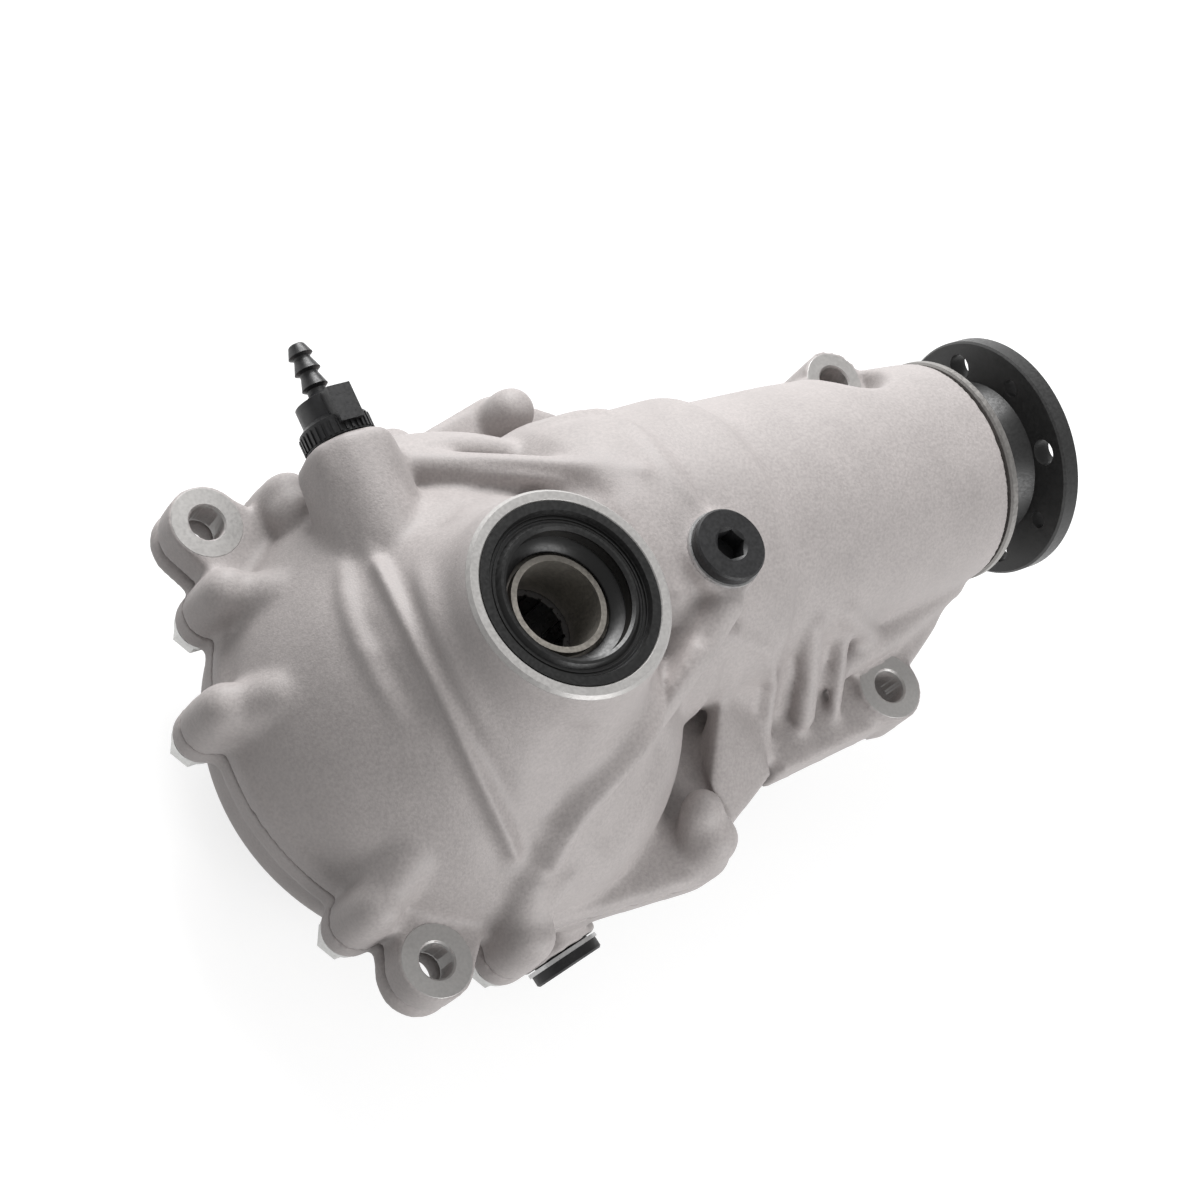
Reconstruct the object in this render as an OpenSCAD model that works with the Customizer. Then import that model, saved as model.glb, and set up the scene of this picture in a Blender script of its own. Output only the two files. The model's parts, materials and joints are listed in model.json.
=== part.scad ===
// Front axle differential, lying on its cover side.
// Z is the axle line, out of the right output. X is the pinion line, towards the
// propshaft flange. Y points to the breather. Lengths are in millimetres.

/* [Axle line] */
// Distance between the end faces of the two output hubs
axle_length = 158; // [156:1:168]
// Depth of the pocket for each output seal
seal_pocket = 9; // [9:0.5:11]
// Thickness of the lip between seal pocket and bearing shim
seat_lip = 2.5; // [2:0.5:4]
// Thickness of each case bearing shim
case_shim = 1.5; // [1:0.1:2.5]
// Outside radius of the output hubs at their end faces
hub_r = 37; // [36.5:0.5:40]
// Radius of the output seal
seal_r = 32.5; // [31:0.5:33.5]
// Radius of the seal lip
seal_lip_r = 22.5; // [21.5:0.5:24]

/* [Ring gear and pinion] */
// Number of ring gear teeth
ring_teeth = 41; // [39:1:43]
// Number of pinion teeth
pinion_teeth = 11; // [11:1:12]
// Hypoid offset of the pinion line from the axle line
pinion_y = 22; // [20:0.5:24]
// Outer radius of the ring gear
ring_r = 74.5; // [73:0.5:75.5]
// Face width of the ring gear teeth
ring_face = 21.5; // [18:0.5:23]
// Pinion pitch radius at the middle of its face
pinion_mean_r = 22.7; // [22:0.1:23.5]
// Height of the pitch surface over the back face of the ring gear
ring_rise = 17.3; // [16.5:0.1:18.5]
// Spiral angle of the ring gear
spiral = 30; // [28:1:32]

/* [Differential gears] */
// Number of side gear teeth
side_teeth = 14; // [12:2:14]
// Number of planet gear teeth
planet_teeth = 10; // [10:2:10]
// Outer pitch radius of the side gears
side_r = 28.5; // [27.5:0.5:29]
// Face width of the side and planet gears
side_face = 9; // [7:0.5:10]
// Radius of the output splines at their tips
spline_r = 13; // [12:0.5:14]
// Radius of the cross pin
cross_pin_r = 8; // [7:0.5:9]

/* [Housing] */
// Width of the joint face round the cavity
joint_land = 10; // [9:0.5:12]
// Thickness of the housing's joint flange
flange_t = 10; // [8:0.5:12]
// Thickness of the cover's joint flange
cover_flange_t = 10; // [9:0.5:11]
// Clearance between the ring gear and the cavity round it
ring_clearance = 2.5; // [2:0.5:3.5]
// Wall of the cast bell
bell_wall = 6; // [5:0.5:7]
// Wall of the cover
cover_wall = 5; // [4:0.5:5.5]
// Distance of the cover bolts outside the round edge of the joint flange
bolt_offset = 3.5; // [2.5:0.5:3.5]

/* [Nose tube] */
// Distance of the nose end from the axle line
nose_x = 228; // [224:1:236]
// Radius of the nose tube at its end
nose_r = 44.5; // [42:0.5:48]
// Radius of the nose tube at its root
nose_root_r = 52.5; // [51:0.5:56]
// Radius of the barrel round the head bearing
barrel_r = 57; // [55:0.5:59]
// Radius of the collar between barrel and bell
barrel_collar_r = 60; // [58:0.5:62]

/* [Input flange] */
// Distance of the flange face from the nose end
flange_reach = 35; // [33:0.5:40]
// Radius of the input flange
input_r = 47; // [45:0.5:50]
// Thickness of the input flange
input_t = 8; // [7:0.5:10]
// Radius of the circle of flange holes
input_pitch_r = 37; // [35.5:0.5:38]
// Radius of the four clearance holes
input_hole_r = 5.1; // [4.5:0.1:5.5]
// Radius of the four tapped holes
input_tapped_r = 3.4; // [3:0.1:4.2]

/* [Mounting] */
// Radius of the mounting holes
mount_hole_r = 6.4; // [6:0.1:6.8]
// Radius of the bosses round the mounting holes
mount_boss_r = 14; // [13:0.5:15]
// Height of the mounting faces over the joint plane
ear_rise = 13; // [11:0.5:15]
// Depth of the mounting feet under the joint plane
foot_drop = 8; // [7:0.5:9]

/* [Plugs and breather] */
// Thread radius of the filler and drain plugs
plug_thread_r = 11; // [10:0.5:11.5]
// Collar radius of the filler and drain plugs
plug_collar_r = 13.4; // [12.8:0.1:14]
// Width across the flats of the plug socket
plug_socket = 10; // [8:1:12]
// Radius of the breather collar
breather_r = 12.3; // [11.5:0.1:13]

/* [Hidden] */
$fn = 96;

// Clearances
press_gap = 0.01;
run_gap = 0.06;
thrust_gap = 0.05;
free_gap = 0.3;
cut = 1;
// Radii of the ring gear's cavity and of the joint flange round it, and place of the flange face
cavity_r = ring_r + ring_clearance;
flange_r = cavity_r + joint_land;
flange_face_x = nose_x + flange_reach;
// Depth at which one casting surface starts inside another
seam = 0.6;

// Tapered roller bearings: bore radius, outer radius, total width, cone width, cup width,
// number of rollers, roller length
CASE_BEARING = [20, 34, 19, 19, 14.5, 18, 12.5];
HEAD_BEARING = [20, 40, 19.75, 18, 16, 16, 13];
TAIL_BEARING = [15, 31, 17.25, 16, 14, 15, 11.5];
bearing_tilt = 11.5;
BORE = 0;
OUTER = 1;
WIDTH = 2;

// Places along the axle line
lip_depth = seal_pocket + seat_lip;
left_shoulder_z = lip_depth + case_shim + CASE_BEARING[WIDTH];
right_shoulder_z = axle_length - left_shoulder_z;
centre_z = axle_length / 2;
case_flange_t = 8;
ring_back_z = left_shoulder_z + case_flange_t;
joint_z = ring_back_z + 16;
pinion_z = ring_back_z + ring_rise + pinion_mean_r;
cover_floor_z = left_shoulder_z - 15.5;
mount_face_z = joint_z + ear_rise;
foot_z = joint_z - foot_drop;

// Places along the pinion line
pinion_shim_t = 1.5;
ring_mean_r = ring_r - ring_face / 2 + 0.25;
pinion_front_x = sqrt(pow(ring_r - ring_face, 2) - pow(pinion_y, 2)) + 0.3;
head_cone_x = ring_r + 0.5;
pinion_back_x = head_cone_x - pinion_shim_t;
head_shoulder_x = head_cone_x + HEAD_BEARING[WIDTH];
web_end_x = head_shoulder_x + 17;
sleeve_x = head_shoulder_x + 62;
tail_cone_x = nose_x - 14;
tail_shoulder_x = tail_cone_x - TAIL_BEARING[WIDTH];
flange_nut_x = flange_face_x - 16;
input_hub_r = 25;
pinion_seal_r = 36;

// Turns a shape drawn along Z so that it lies along the pinion line
module on_pinion(x = 0) {
    translate([x, pinion_y, pinion_z]) rotate([0, 90, 0]) children();
}

// Plate round two circles. Its straight edges run a hair inside their outer tangents.
edge_inset = 0.03;

module strap(a, ra, b, rb, low, high) {
    way = b - a;
    d = norm(way);
    side = acos((ra - rb) / d);
    heading = atan2(way[1], way[0]);
    edge = function (centre, r, turn)
        centre + (r - edge_inset) * [cos(heading + turn), sin(heading + turn)];
    translate([0, 0, low]) {
        translate(a) cylinder(r = ra, h = high - low);
        translate(b) cylinder(r = rb, h = high - low);
        linear_extrude(high - low)
            polygon([edge(a, ra, side), edge(b, rb, side), edge(b, rb, -side), edge(a, ra, -side)]);
    }
}

// Tapered bar with round ends, as one revolved profile
function end_arc(middle, r, from, to) =
    [for (i = [0 : 3]) let (a = from + (to - from) * i / 3) [r * cos(a), middle + r * sin(a)]];

module limb(a, ra, b, rb) {
    way = b - a;
    d = norm(way);
    lean = asin((ra - rb) / d);
    translate(a)
        rotate([0, acos(way[2] / d), atan2(way[1], way[0])])
            rotate_extrude($fn = 48)
                polygon(concat([[0, -ra]], end_arc(0, ra, -60, lean), end_arc(d, rb, lean, 60), [[0, d + rb]]));
}

// Tapered roller bearing. The cone's back face is at zero and the cup's back face
// at the full width. All races and rollers share one apex.
function bearing_mean_r(b) = (b[BORE] + b[OUTER]) / 2;
function bearing_roller_r(b) = 0.28 * (b[OUTER] - b[BORE]);
function bearing_apex(b) = b[WIDTH] / 2 + bearing_mean_r(b) / tan(bearing_tilt);
function bearing_flare(b) = asin(bearing_roller_r(b) * sin(bearing_tilt) / bearing_mean_r(b));
function bearing_line(b, z, side) =
    (bearing_apex(b) - z) * tan(bearing_tilt + side * bearing_flare(b));
function roller_start(b) = b[WIDTH] / 2 - b[6] / 2 * cos(bearing_tilt);
function roller_end(b) = b[WIDTH] / 2 + b[6] / 2 * cos(bearing_tilt);

module bearing_cup(b) {
    low = b[WIDTH] - b[4];
    color("silver") rotate_extrude() polygon([
        [bearing_line(b, low, 1), low], [b[OUTER] - press_gap, low],
        [b[OUTER] - press_gap, b[WIDTH] - 1], [b[OUTER] - 1, b[WIDTH]],
        [bearing_line(b, b[WIDTH], 1), b[WIDTH]]
    ]);
}

module bearing_cone(b) {
    rib_z = roller_start(b) - 1.25 * bearing_roller_r(b) * sin(bearing_tilt) - 0.1;
    lip_z = roller_end(b) + 0.5;
    rib_r = bearing_line(b, rib_z, 0) - 1.1;
    lip_r = bearing_line(b, lip_z, -1) + 0.9;
    color("silver") rotate_extrude() polygon([
        [b[BORE] + press_gap, 0], [rib_r, 0], [rib_r, rib_z],
        [bearing_line(b, rib_z, -1), rib_z], [bearing_line(b, lip_z, -1), lip_z],
        [lip_r, lip_z], [lip_r, b[3]], [b[BORE] + press_gap, b[3]]
    ]);
}

module bearing_roller_set(b, grow, longer) {
    slant = bearing_mean_r(b) / sin(bearing_tilt);
    flare = bearing_flare(b);
    near = slant + b[6] / 2 + longer;
    far = slant - b[6] / 2 - longer;
    for (i = [0 : b[5] - 1])
        translate([0, 0, bearing_apex(b)])
            rotate([0, 180 - bearing_tilt, i * 360 / b[5]])
                translate([0, 0, far])
                    cylinder(
                        r1 = far * tan(flare) + grow, r2 = near * tan(flare) + grow,
                        h = near - far, $fn = 32
                    );
}

module bearing_rollers(b) {
    color("gainsboro") bearing_roller_set(b, -run_gap, 0);
}

module bearing_cage(b) {
    low = roller_start(b) - 1.3;
    high = roller_end(b) + 1.3;
    color("dimgray") difference() {
        rotate_extrude() polygon([
            [bearing_line(b, low, 0) - 0.5, low], [bearing_line(b, low, 0) + 0.7, low],
            [bearing_line(b, high, 0) + 0.7, high], [bearing_line(b, high, 0) - 0.5, high]
        ]);
        bearing_roller_set(b, 0.15, 0.15);
    }
}

// Places of the four bearings
module at_right_case() translate([0, 0, right_shoulder_z]) children();
module at_left_case() translate([0, 0, left_shoulder_z]) mirror([0, 0, 1]) children();
module at_head() on_pinion(head_cone_x) children();
module at_tail() on_pinion(tail_cone_x) mirror([0, 0, 1]) children();

module right_case_cup() at_right_case() bearing_cup(CASE_BEARING);
module left_case_cup() at_left_case() bearing_cup(CASE_BEARING);
module head_cup() at_head() bearing_cup(HEAD_BEARING);
module tail_cup() at_tail() bearing_cup(TAIL_BEARING);
module right_case_cone() at_right_case() bearing_cone(CASE_BEARING);
module left_case_cone() at_left_case() bearing_cone(CASE_BEARING);
module head_cone() at_head() bearing_cone(HEAD_BEARING);
module tail_cone() at_tail() bearing_cone(TAIL_BEARING);
module right_case_rollers() at_right_case() bearing_rollers(CASE_BEARING);
module left_case_rollers() at_left_case() bearing_rollers(CASE_BEARING);
module head_rollers() at_head() bearing_rollers(HEAD_BEARING);
module tail_rollers() at_tail() bearing_rollers(TAIL_BEARING);
module right_case_cage() at_right_case() bearing_cage(CASE_BEARING);
module left_case_cage() at_left_case() bearing_cage(CASE_BEARING);
module head_cage() at_head() bearing_cage(HEAD_BEARING);
module tail_cage() at_tail() bearing_cage(TAIL_BEARING);

// Gear pairs. Gear A turns about Z with its teeth upwards. Its mate B lies along X
// above it, at the given height and offset. A's flanks are straight and B's flanks
// are the envelope of A's, so the two mesh at every angle.
// [teeth of A, teeth of B, offset, height of B, spiral, mean radius, pitch height there,
//  slope of the pitch surface, tip height, root depth, depth grows with radius,
//  inner radius, outer radius, half tooth share, flank slope]
RING_PAIR = [
    ring_teeth, pinion_teeth, pinion_y, pinion_z, spiral, ring_mean_r, ring_back_z + ring_rise,
    0.214, 1.15, 4.35, 0, ring_r - ring_face, ring_r, 0.21, tan(20) / cos(spiral)
];
side_slope = planet_teeth / side_teeth;
side_mean_r = side_r - side_face / 2;
SIDE_PAIR = [
    side_teeth, planet_teeth, 0, 0, 0, side_mean_r, -side_slope * side_mean_r,
    side_slope, 0.1 * side_mean_r, 0.155 * side_mean_r, 1, side_r - side_face, side_r, 0.24, 0.4
];
flank_gap = 0.2;

function depth_share(g, rho) = g[10] == 1 ? rho / g[5] : 1;
function pitch_height(g, rho) = g[6] - g[7] * (rho - g[5]);
function tip_height(g, rho) = pitch_height(g, rho) + g[8] * depth_share(g, rho);
function root_height(g, rho) = pitch_height(g, rho) - g[9] * depth_share(g, rho);
function tooth_turn(g, rho) = tan(g[4]) * ln(rho / g[5]) * 180 / PI;
function tooth_half(g, rho, z) =
    g[13] * 360 / g[0] - (z - pitch_height(g, rho)) * g[14] / rho * 180 / PI;

// Closed tube of triangles through rings of points that have equal counts
module ring_tube(rings) {
    m = len(rings);
    n = len(rings[0]);
    at = function (i, j) (i % m) * n + j % n;
    polyhedron(
        points = [for (ring = rings) each ring],
        faces = [
            for (i = [0 : m - 1], j = [0 : n - 1]) each [
                [at(i, j), at(i + 1, j), at(i + 1, j + 1)],
                [at(i, j), at(i + 1, j + 1), at(i, j + 1)]
            ]
        ],
        convexity = 10
    );
}

// Closed body of triangles through a stack of rings, with a fan at each end
module ring_stack(rings, first, last) {
    m = len(rings);
    n = len(rings[0]);
    at = function (i, j) 1 + i * n + j % n;
    polyhedron(
        points = concat([first], [for (ring = rings) each ring], [last]),
        faces = [
            for (j = [0 : n - 1]) [0, at(0, j), at(0, j + 1)],
            for (i = [0 : m - 2], j = [0 : n - 1]) each [
                [at(i, j), at(i + 1, j), at(i + 1, j + 1)],
                [at(i, j), at(i + 1, j + 1), at(i, j + 1)]
            ],
            for (j = [0 : n - 1]) [1 + m * n, at(m - 1, j + 1), at(m - 1, j)]
        ],
        convexity = 10
    );
}

// Gear A as one body: its teeth, and under and inside them the plain rings that are
// given as [radius, height] pairs from the inner edge round to the outer edge
module gear_a(g, before, after, stations) {
    step = (g[12] - g[11]) / stations;
    corner_angle = function (rho, i, c)
        let (
            side = c < 2 ? -1 : 1,
            z = c == 0 || c == 3 ? root_height(g, rho) : tip_height(g, rho)
        )
        i * 360 / g[0] + tooth_turn(g, rho) + side * tooth_half(g, rho, z);
    plain_ring = function (rho, edge) [
        for (i = [0 : g[0] - 1], c = [0 : 3])
            let (a = corner_angle(rho, i, c)) [edge[0] * cos(a), edge[0] * sin(a), edge[1]]
    ];
    tooth_ring = function (rho) [
        for (i = [0 : g[0] - 1], c = [0 : 3])
            let (
                a = corner_angle(rho, i, c),
                z = c == 0 || c == 3 ? root_height(g, rho) : tip_height(g, rho)
            )
            [rho * cos(a), rho * sin(a), z]
    ];
    ring_tube(concat(
        [for (edge = before) plain_ring(g[11], edge)],
        [for (k = [0 : stations]) tooth_ring(g[11] + k * step)],
        [for (edge = after) plain_ring(g[12], edge)]
    ));
}

// Angles round B that A's teeth sweep while they pass, at distance x along B and radius r
function sweep(g, x, r) =
    let (
        rim = norm([x, g[2]]),
        reach = acos(min(1, max(-1, (g[3] - tip_height(g, rim)) / r))) + 5,
        ratio = g[0] / g[1]
    )
    [
        for (s = [-1 : 0.1 : 1])
            let (
                psi = -90 + s * reach,
                y = g[2] + r * cos(psi),
                z = g[3] + r * sin(psi),
                rho = norm([x, y]),
                middle = atan2(y, x) - tooth_turn(g, rho),
                half = tooth_half(g, rho, z)
            )
            if (z < tip_height(g, rho))
                [psi - ratio * (middle - half), psi - ratio * (middle - 360 / g[0] + half)]
    ];

// One flank point pair of B: lowest and highest angle that stays clear of A
function flank_pair(g, x, r) =
    let (swept = sweep(g, x, r), gap = flank_gap / r * 180 / PI)
    [max([for (p = swept) p[0]]) + gap, min([for (p = swept) p[1]]) - gap];

function mate_root(g, x) = g[3] - tip_height(g, norm([x, g[2]])) - 0.3;
function mate_tip(g, x) = g[3] - root_height(g, norm([x, g[2]])) - 0.4;

// Gear B along X, as sections across its axis, with plain rings behind its heel
module gear_b(g, from_x, to_x, sections, shares, tip_gap, behind) {
    step = (to_x - from_x) / sections;
    last = len(shares) - 1;
    count = 2 * (last + 1);
    section_angles = function (x)
        let (
            low = mate_root(g, x),
            high = mate_tip(g, x) - tip_gap,
            radii = [for (s = shares) low + (high - low) * s],
            pairs = [for (r = radii) flank_pair(g, x, max(r, low + 0.65))]
        )
        [
            for (i = [0 : g[1] - 1], c = [0 : count - 1])
                let (k = c <= last ? c : count - 1 - c)
                [radii[k], pairs[k][c <= last ? 0 : 1] + i * 360 / g[1]]
        ];
    placed = function (x, polar) [
        for (p = polar) [x, g[2] + p[0] * cos(p[1]), g[3] + p[0] * sin(p[1])]
    ];
    heel = section_angles(to_x);
    ring_stack(
        concat(
            [for (k = [0 : sections]) let (x = from_x + k * step) placed(x, section_angles(x))],
            [for (edge = behind) placed(edge[1], [for (p = heel) [edge[0], p[1]]])]
        ),
        [from_x, g[2], g[3]],
        [len(behind) > 0 ? behind[len(behind) - 1][1] : to_x, g[2], g[3]]
    );
}

// Ring gear, with blind tapped holes in its back face
ring_bolts = 10;
ring_bolt_circle_r = ring_r - 11;
ring_bolt_r = 5;
ring_bolt_reach = 10;

module round_row(count, radius, start = 0) {
    for (i = [0 : count - 1]) rotate([0, 0, start + i * 360 / count]) translate([radius, 0, 0]) children();
}

module ring_gear() {
    color("slategray") difference() {
        gear_a(RING_PAIR, [[ring_r - ring_face, ring_back_z]], [[ring_r, ring_back_z]], 5);
        translate([0, 0, ring_back_z - cut])
            round_row(ring_bolts, ring_bolt_circle_r)
                cylinder(r = ring_bolt_r, h = ring_bolt_reach + cut + 0.5, $fn = 32);
    }
}

module ring_gear_bolts() {
    color("dimgray") round_row(ring_bolts, ring_bolt_circle_r) {
        translate([0, 0, left_shoulder_z])
            cylinder(r = ring_bolt_r - press_gap, h = case_flange_t + ring_bolt_reach, $fn = 32);
        translate([0, 0, left_shoulder_z - 1.5]) cylinder(r = 8.2, h = 1.5, $fn = 32);
        translate([0, 0, left_shoulder_z - 6.5]) cylinder(r = 7.5, h = 5.5, $fn = 6);
    }
}

// Differential case. Its inside is a sphere cut by two flats for the side gears.
case_sphere_r = side_r + 11;
case_r = case_sphere_r + 6;
case_flat = case_sphere_r - 8.7;
case_flat_r = sqrt(pow(case_sphere_r, 2) - pow(case_flat, 2));
side_hub_r = spline_r + 6;
spline_teeth = 16;
case_hub_bore_r = 15.25;
window_r = 25;

module differential_case() {
    register_r = ring_r - ring_face - 0.05;
    bearing_r = CASE_BEARING[BORE];
    left_end = seal_pocket + 0.5;
    color("darkgray") difference() {
        rotate_extrude() polygon([
            [case_hub_bore_r, left_end], [17.3, left_end], [17.3, lip_depth + 1.5],
            [bearing_r, lip_depth + 2], [bearing_r, left_shoulder_z],
            [ring_bolt_circle_r + 8.5, left_shoulder_z], [ring_bolt_circle_r + 8.5, ring_back_z],
            [register_r, ring_back_z], [register_r, ring_back_z + 6], [case_r, ring_back_z + 8],
            [case_r, right_shoulder_z - 15], [27, right_shoulder_z],
            [bearing_r, right_shoulder_z], [bearing_r, axle_length - lip_depth - 2],
            [17.3, axle_length - lip_depth - 1.5], [17.3, axle_length - left_end],
            [case_hub_bore_r, axle_length - left_end]
        ]);
        intersection() {
            translate([0, 0, centre_z]) sphere(r = case_sphere_r);
            translate([0, 0, centre_z - case_flat]) cylinder(r = case_r, h = 2 * case_flat);
        }
        translate([0, 0, centre_z - case_flat - 14.9])
            cylinder(r = side_hub_r + run_gap, h = 2 * case_flat + 29.8);
        translate([0, 0, centre_z]) rotate([0, 90, 0])
            cylinder(r = window_r, h = 2 * case_r + 2 * cut, center = true);
        translate([0, 0, centre_z]) rotate([90, 0, 0])
            cylinder(r = cross_pin_r + press_gap, h = 2 * case_r + 2 * cut, center = true);
        translate([0, case_r - 3.3, left_shoulder_z - cut])
            cylinder(r = lock_pin_r + press_gap, h = centre_z + 13 - left_shoulder_z + cut, $fn = 32);
        translate([0, 0, left_shoulder_z - cut])
            round_row(ring_bolts, ring_bolt_circle_r)
                cylinder(r = ring_bolt_r + press_gap, h = case_flange_t + 2 * cut, $fn = 32);
    }
}

lock_pin_r = 2;

module cross_pin() {
    color("lightsteelblue") difference() {
        translate([0, 0, centre_z]) rotate([90, 0, 0])
            cylinder(r = cross_pin_r, h = 2 * case_r - 1.5, center = true);
        translate([0, case_r - 3.3, centre_z - 2 * cross_pin_r])
            cylinder(r = lock_pin_r + press_gap, h = 4 * cross_pin_r, $fn = 32);
    }
}

module cross_pin_lock() {
    color("gray") translate([0, case_r - 3.3, centre_z - 18])
        cylinder(r = lock_pin_r, h = 30, $fn = 32);
}

// Side gear, drawn below the centre with its teeth upwards
washer_t = 1;

module side_gear_shape() {
    toe_r = side_r - side_face;
    toe_root = root_height(SIDE_PAIR, toe_r);
    heel_root = root_height(SIDE_PAIR, side_r);
    back = -(case_flat - washer_t - thrust_gap);
    hub_end = -(case_flat + 14.6);
    core = spline_r - 2;
    color("lightslategray") difference() {
        rotate([0, 0, 90]) gear_a(
            SIDE_PAIR, [[core, hub_end], [core, toe_root]],
            [
                [side_r, heel_root - 0.8], [side_r - 3, back],
                [side_hub_r, back], [side_hub_r, hub_end]
            ], 3
        );
        translate([0, 0, hub_end - cut]) cylinder(r = spline_r, h = 2 * case_sphere_r);
        for (i = [0 : spline_teeth - 1]) rotate([0, 0, i * 360 / spline_teeth])
            translate([spline_r, 0, hub_end - cut])
                rotate([0, 0, 45]) cylinder(r = 0.9, h = case_flat + 20, $fn = 4);
    }
}

module left_side_gear() translate([0, 0, centre_z]) side_gear_shape();
module right_side_gear() translate([0, 0, centre_z]) mirror([0, 0, 1]) side_gear_shape();

module side_gear_washers() {
    for (end = [0, 1]) translate([0, 0, centre_z]) mirror([0, 0, end])
        color("goldenrod") translate([0, 0, -case_flat + press_gap]) difference() {
            cylinder(r = case_flat_r - 0.3, h = washer_t - press_gap);
            translate([0, 0, -cut]) cylinder(r = side_hub_r + free_gap, h = washer_t + 2 * cut);
        }
}

// Planet gear, drawn along X from the centre, with a ball-shaped back
planet_back_r = case_sphere_r - washer_t - 0.15;

module planet_shape() {
    toe = side_r - side_face;
    back = planet_back_r;
    color("lightslategray") difference() {
        gear_b(
            SIDE_PAIR, toe, side_r, 3, [0, 0.5, 1], 0,
            [for (a = [39, 33, 26, 19]) [back * sin(a), back * cos(a)]]
        );
        rotate([0, 90, 0]) cylinder(r = cross_pin_r + run_gap, h = 2 * case_r);
    }
}

module upper_planet_gear() translate([0, 0, centre_z]) rotate([0, 0, 90]) planet_shape();
module lower_planet_gear() translate([0, 0, centre_z]) rotate([0, 0, -90]) planet_shape();

module planet_washers() {
    inner = case_sphere_r - washer_t;
    outer = case_sphere_r - press_gap;
    for (turn = [90, -90]) translate([0, 0, centre_z]) rotate([0, 0, turn]) rotate([0, 90, 0])
        color("goldenrod") rotate_extrude() polygon(concat(
            [for (i = [0 : 6]) let (a = 14 + 19 * i / 6) inner * [sin(a), cos(a)]],
            [for (i = [6 : -1 : 0]) let (a = 14 + 19 * i / 6) outer * [sin(a), cos(a)]]
        ));
}

// Pinion with its shaft, and what is stacked on it
module drive_pinion() {
    seat = HEAD_BEARING[BORE];
    tail_r = TAIL_BEARING[BORE];
    front = pinion_front_x;
    back = pinion_back_x;
    color("slategray") difference() {
        union() {
            gear_b(RING_PAIR, front, back, 8, [0, 0.4, 0.7, 1], 0.9, []);
            translate([0, pinion_y, pinion_z]) rotate([0, 90, 0]) rotate_extrude() polygon([
                [0, back - 4], [seat, back - 4], [seat, head_cone_x + 20], [seat - 1, head_cone_x + 22], [seat - 1, sleeve_x],
                [tail_r, sleeve_x], [tail_r, tail_cone_x - 1], [tail_r - 1.5, tail_cone_x - 0.5],
                [tail_r - 1.5, flange_nut_x + 1], [11, flange_nut_x + 2],
                [11, flange_face_x - 2], [10, flange_face_x - 1], [0, flange_face_x - 1]
            ]);
        }
        on_pinion(front - cut) cylinder(r1 = 5, r2 = 0.5, h = 6, $fn = 32);
    }
}

module pinion_shim() {
    color("silver") on_pinion(head_cone_x - pinion_shim_t) difference() {
        cylinder(r = HEAD_BEARING[BORE] + 4, h = pinion_shim_t);
        translate([0, 0, -cut]) cylinder(r = HEAD_BEARING[BORE] + press_gap, h = pinion_shim_t + 2 * cut);
    }
}

module crush_sleeve() {
    inner = TAIL_BEARING[BORE] + press_gap;
    far = tail_cone_x - TAIL_BEARING[3];
    middle = (sleeve_x + far) / 2;
    color("darkkhaki") translate([0, pinion_y, pinion_z]) rotate([0, 90, 0]) rotate_extrude() polygon([
        [inner, sleeve_x], [inner + 3, sleeve_x], [inner + 3, middle - 7], [inner + 5, middle],
        [inner + 3, middle + 7], [inner + 3, far], [inner, far], [inner, middle + 5],
        [inner + 2, middle], [inner, middle - 5]
    ]);
}

module input_flange() {
    plate_x = flange_face_x - input_t;
    color([0.1, 0.1, 0.11]) difference() {
        translate([0, pinion_y, pinion_z]) rotate([0, 90, 0]) rotate_extrude() polygon([
            [TAIL_BEARING[BORE] - 1.49, tail_cone_x], [input_hub_r - 3, tail_cone_x],
            [input_hub_r, tail_cone_x + 2], [input_hub_r, plate_x - 14], [input_hub_r + 6, plate_x],
            [input_r - 0.8, plate_x], [input_r, plate_x + 0.8], [input_r, flange_face_x - 0.8],
            [input_r - 0.8, flange_face_x], [23, flange_face_x], [20, flange_face_x - 3],
            [20, flange_nut_x], [TAIL_BEARING[BORE] - 1.49, flange_nut_x]
        ]);
        on_pinion(plate_x - cut) {
            round_row(4, input_pitch_r, 22.5) cylinder(r = input_hole_r, h = input_t + 2 * cut, $fn = 48);
            round_row(4, input_pitch_r, 67.5) cylinder(r = input_tapped_r, h = input_t + 2 * cut, $fn = 48);
        }
    }
}

module pinion_nut() {
    color("dimgray") on_pinion(flange_nut_x) difference() {
        union() {
            cylinder(r = 17, h = 2.5);
            translate([0, 0, 2]) cylinder(r = 16, h = 9, $fn = 6);
        }
        translate([0, 0, -cut]) cylinder(r = 13.6, h = 2.1 + cut, $fn = 48);
        cylinder(r = 11 + press_gap, h = 20);
    }
}

module dust_shield() {
    color("silver") translate([0, pinion_y, pinion_z]) rotate([0, 90, 0]) rotate_extrude() polygon([
        [input_hub_r + press_gap, nose_x + 2], [nose_r - 1.5, nose_x + 2], [nose_r - 0.6, nose_x + 2.6],
        [nose_r - 0.6, nose_x + 5], [nose_r - 1.8, nose_x + 5], [nose_r - 1.8, nose_x + 3.4],
        [input_hub_r + 1.5, nose_x + 3.4], [input_hub_r + 1.5, nose_x + 8],
        [input_hub_r + press_gap, nose_x + 8]
    ]);
}

// Seals. Drawn along Z with the outer face at zero and the inside below it.
module seal_shape(outer, lip, depth) {
    color([0.09, 0.09, 0.09]) rotate_extrude() polygon([
        [lip + 1.2, -0.9], [lip + 2.2, -0.9], [lip + 3.6, -2.4], [outer - 4.2, -2.4],
        [outer - 3.2, 0], [outer - press_gap, 0], [outer - press_gap, -depth],
        [outer - 2, -depth], [outer - 2, -4.4], [lip + 3.2, -4.4], [lip + 2.6, -depth + 3],
        [lip + 1.8, -depth + 3], [lip + 1.8, -depth + 1], [lip + 1.2, -depth],
        [lip, -depth + 2.4], [lip + 0.8, -3.4], [lip + 0.1, -1.6]
    ]);
}

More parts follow.
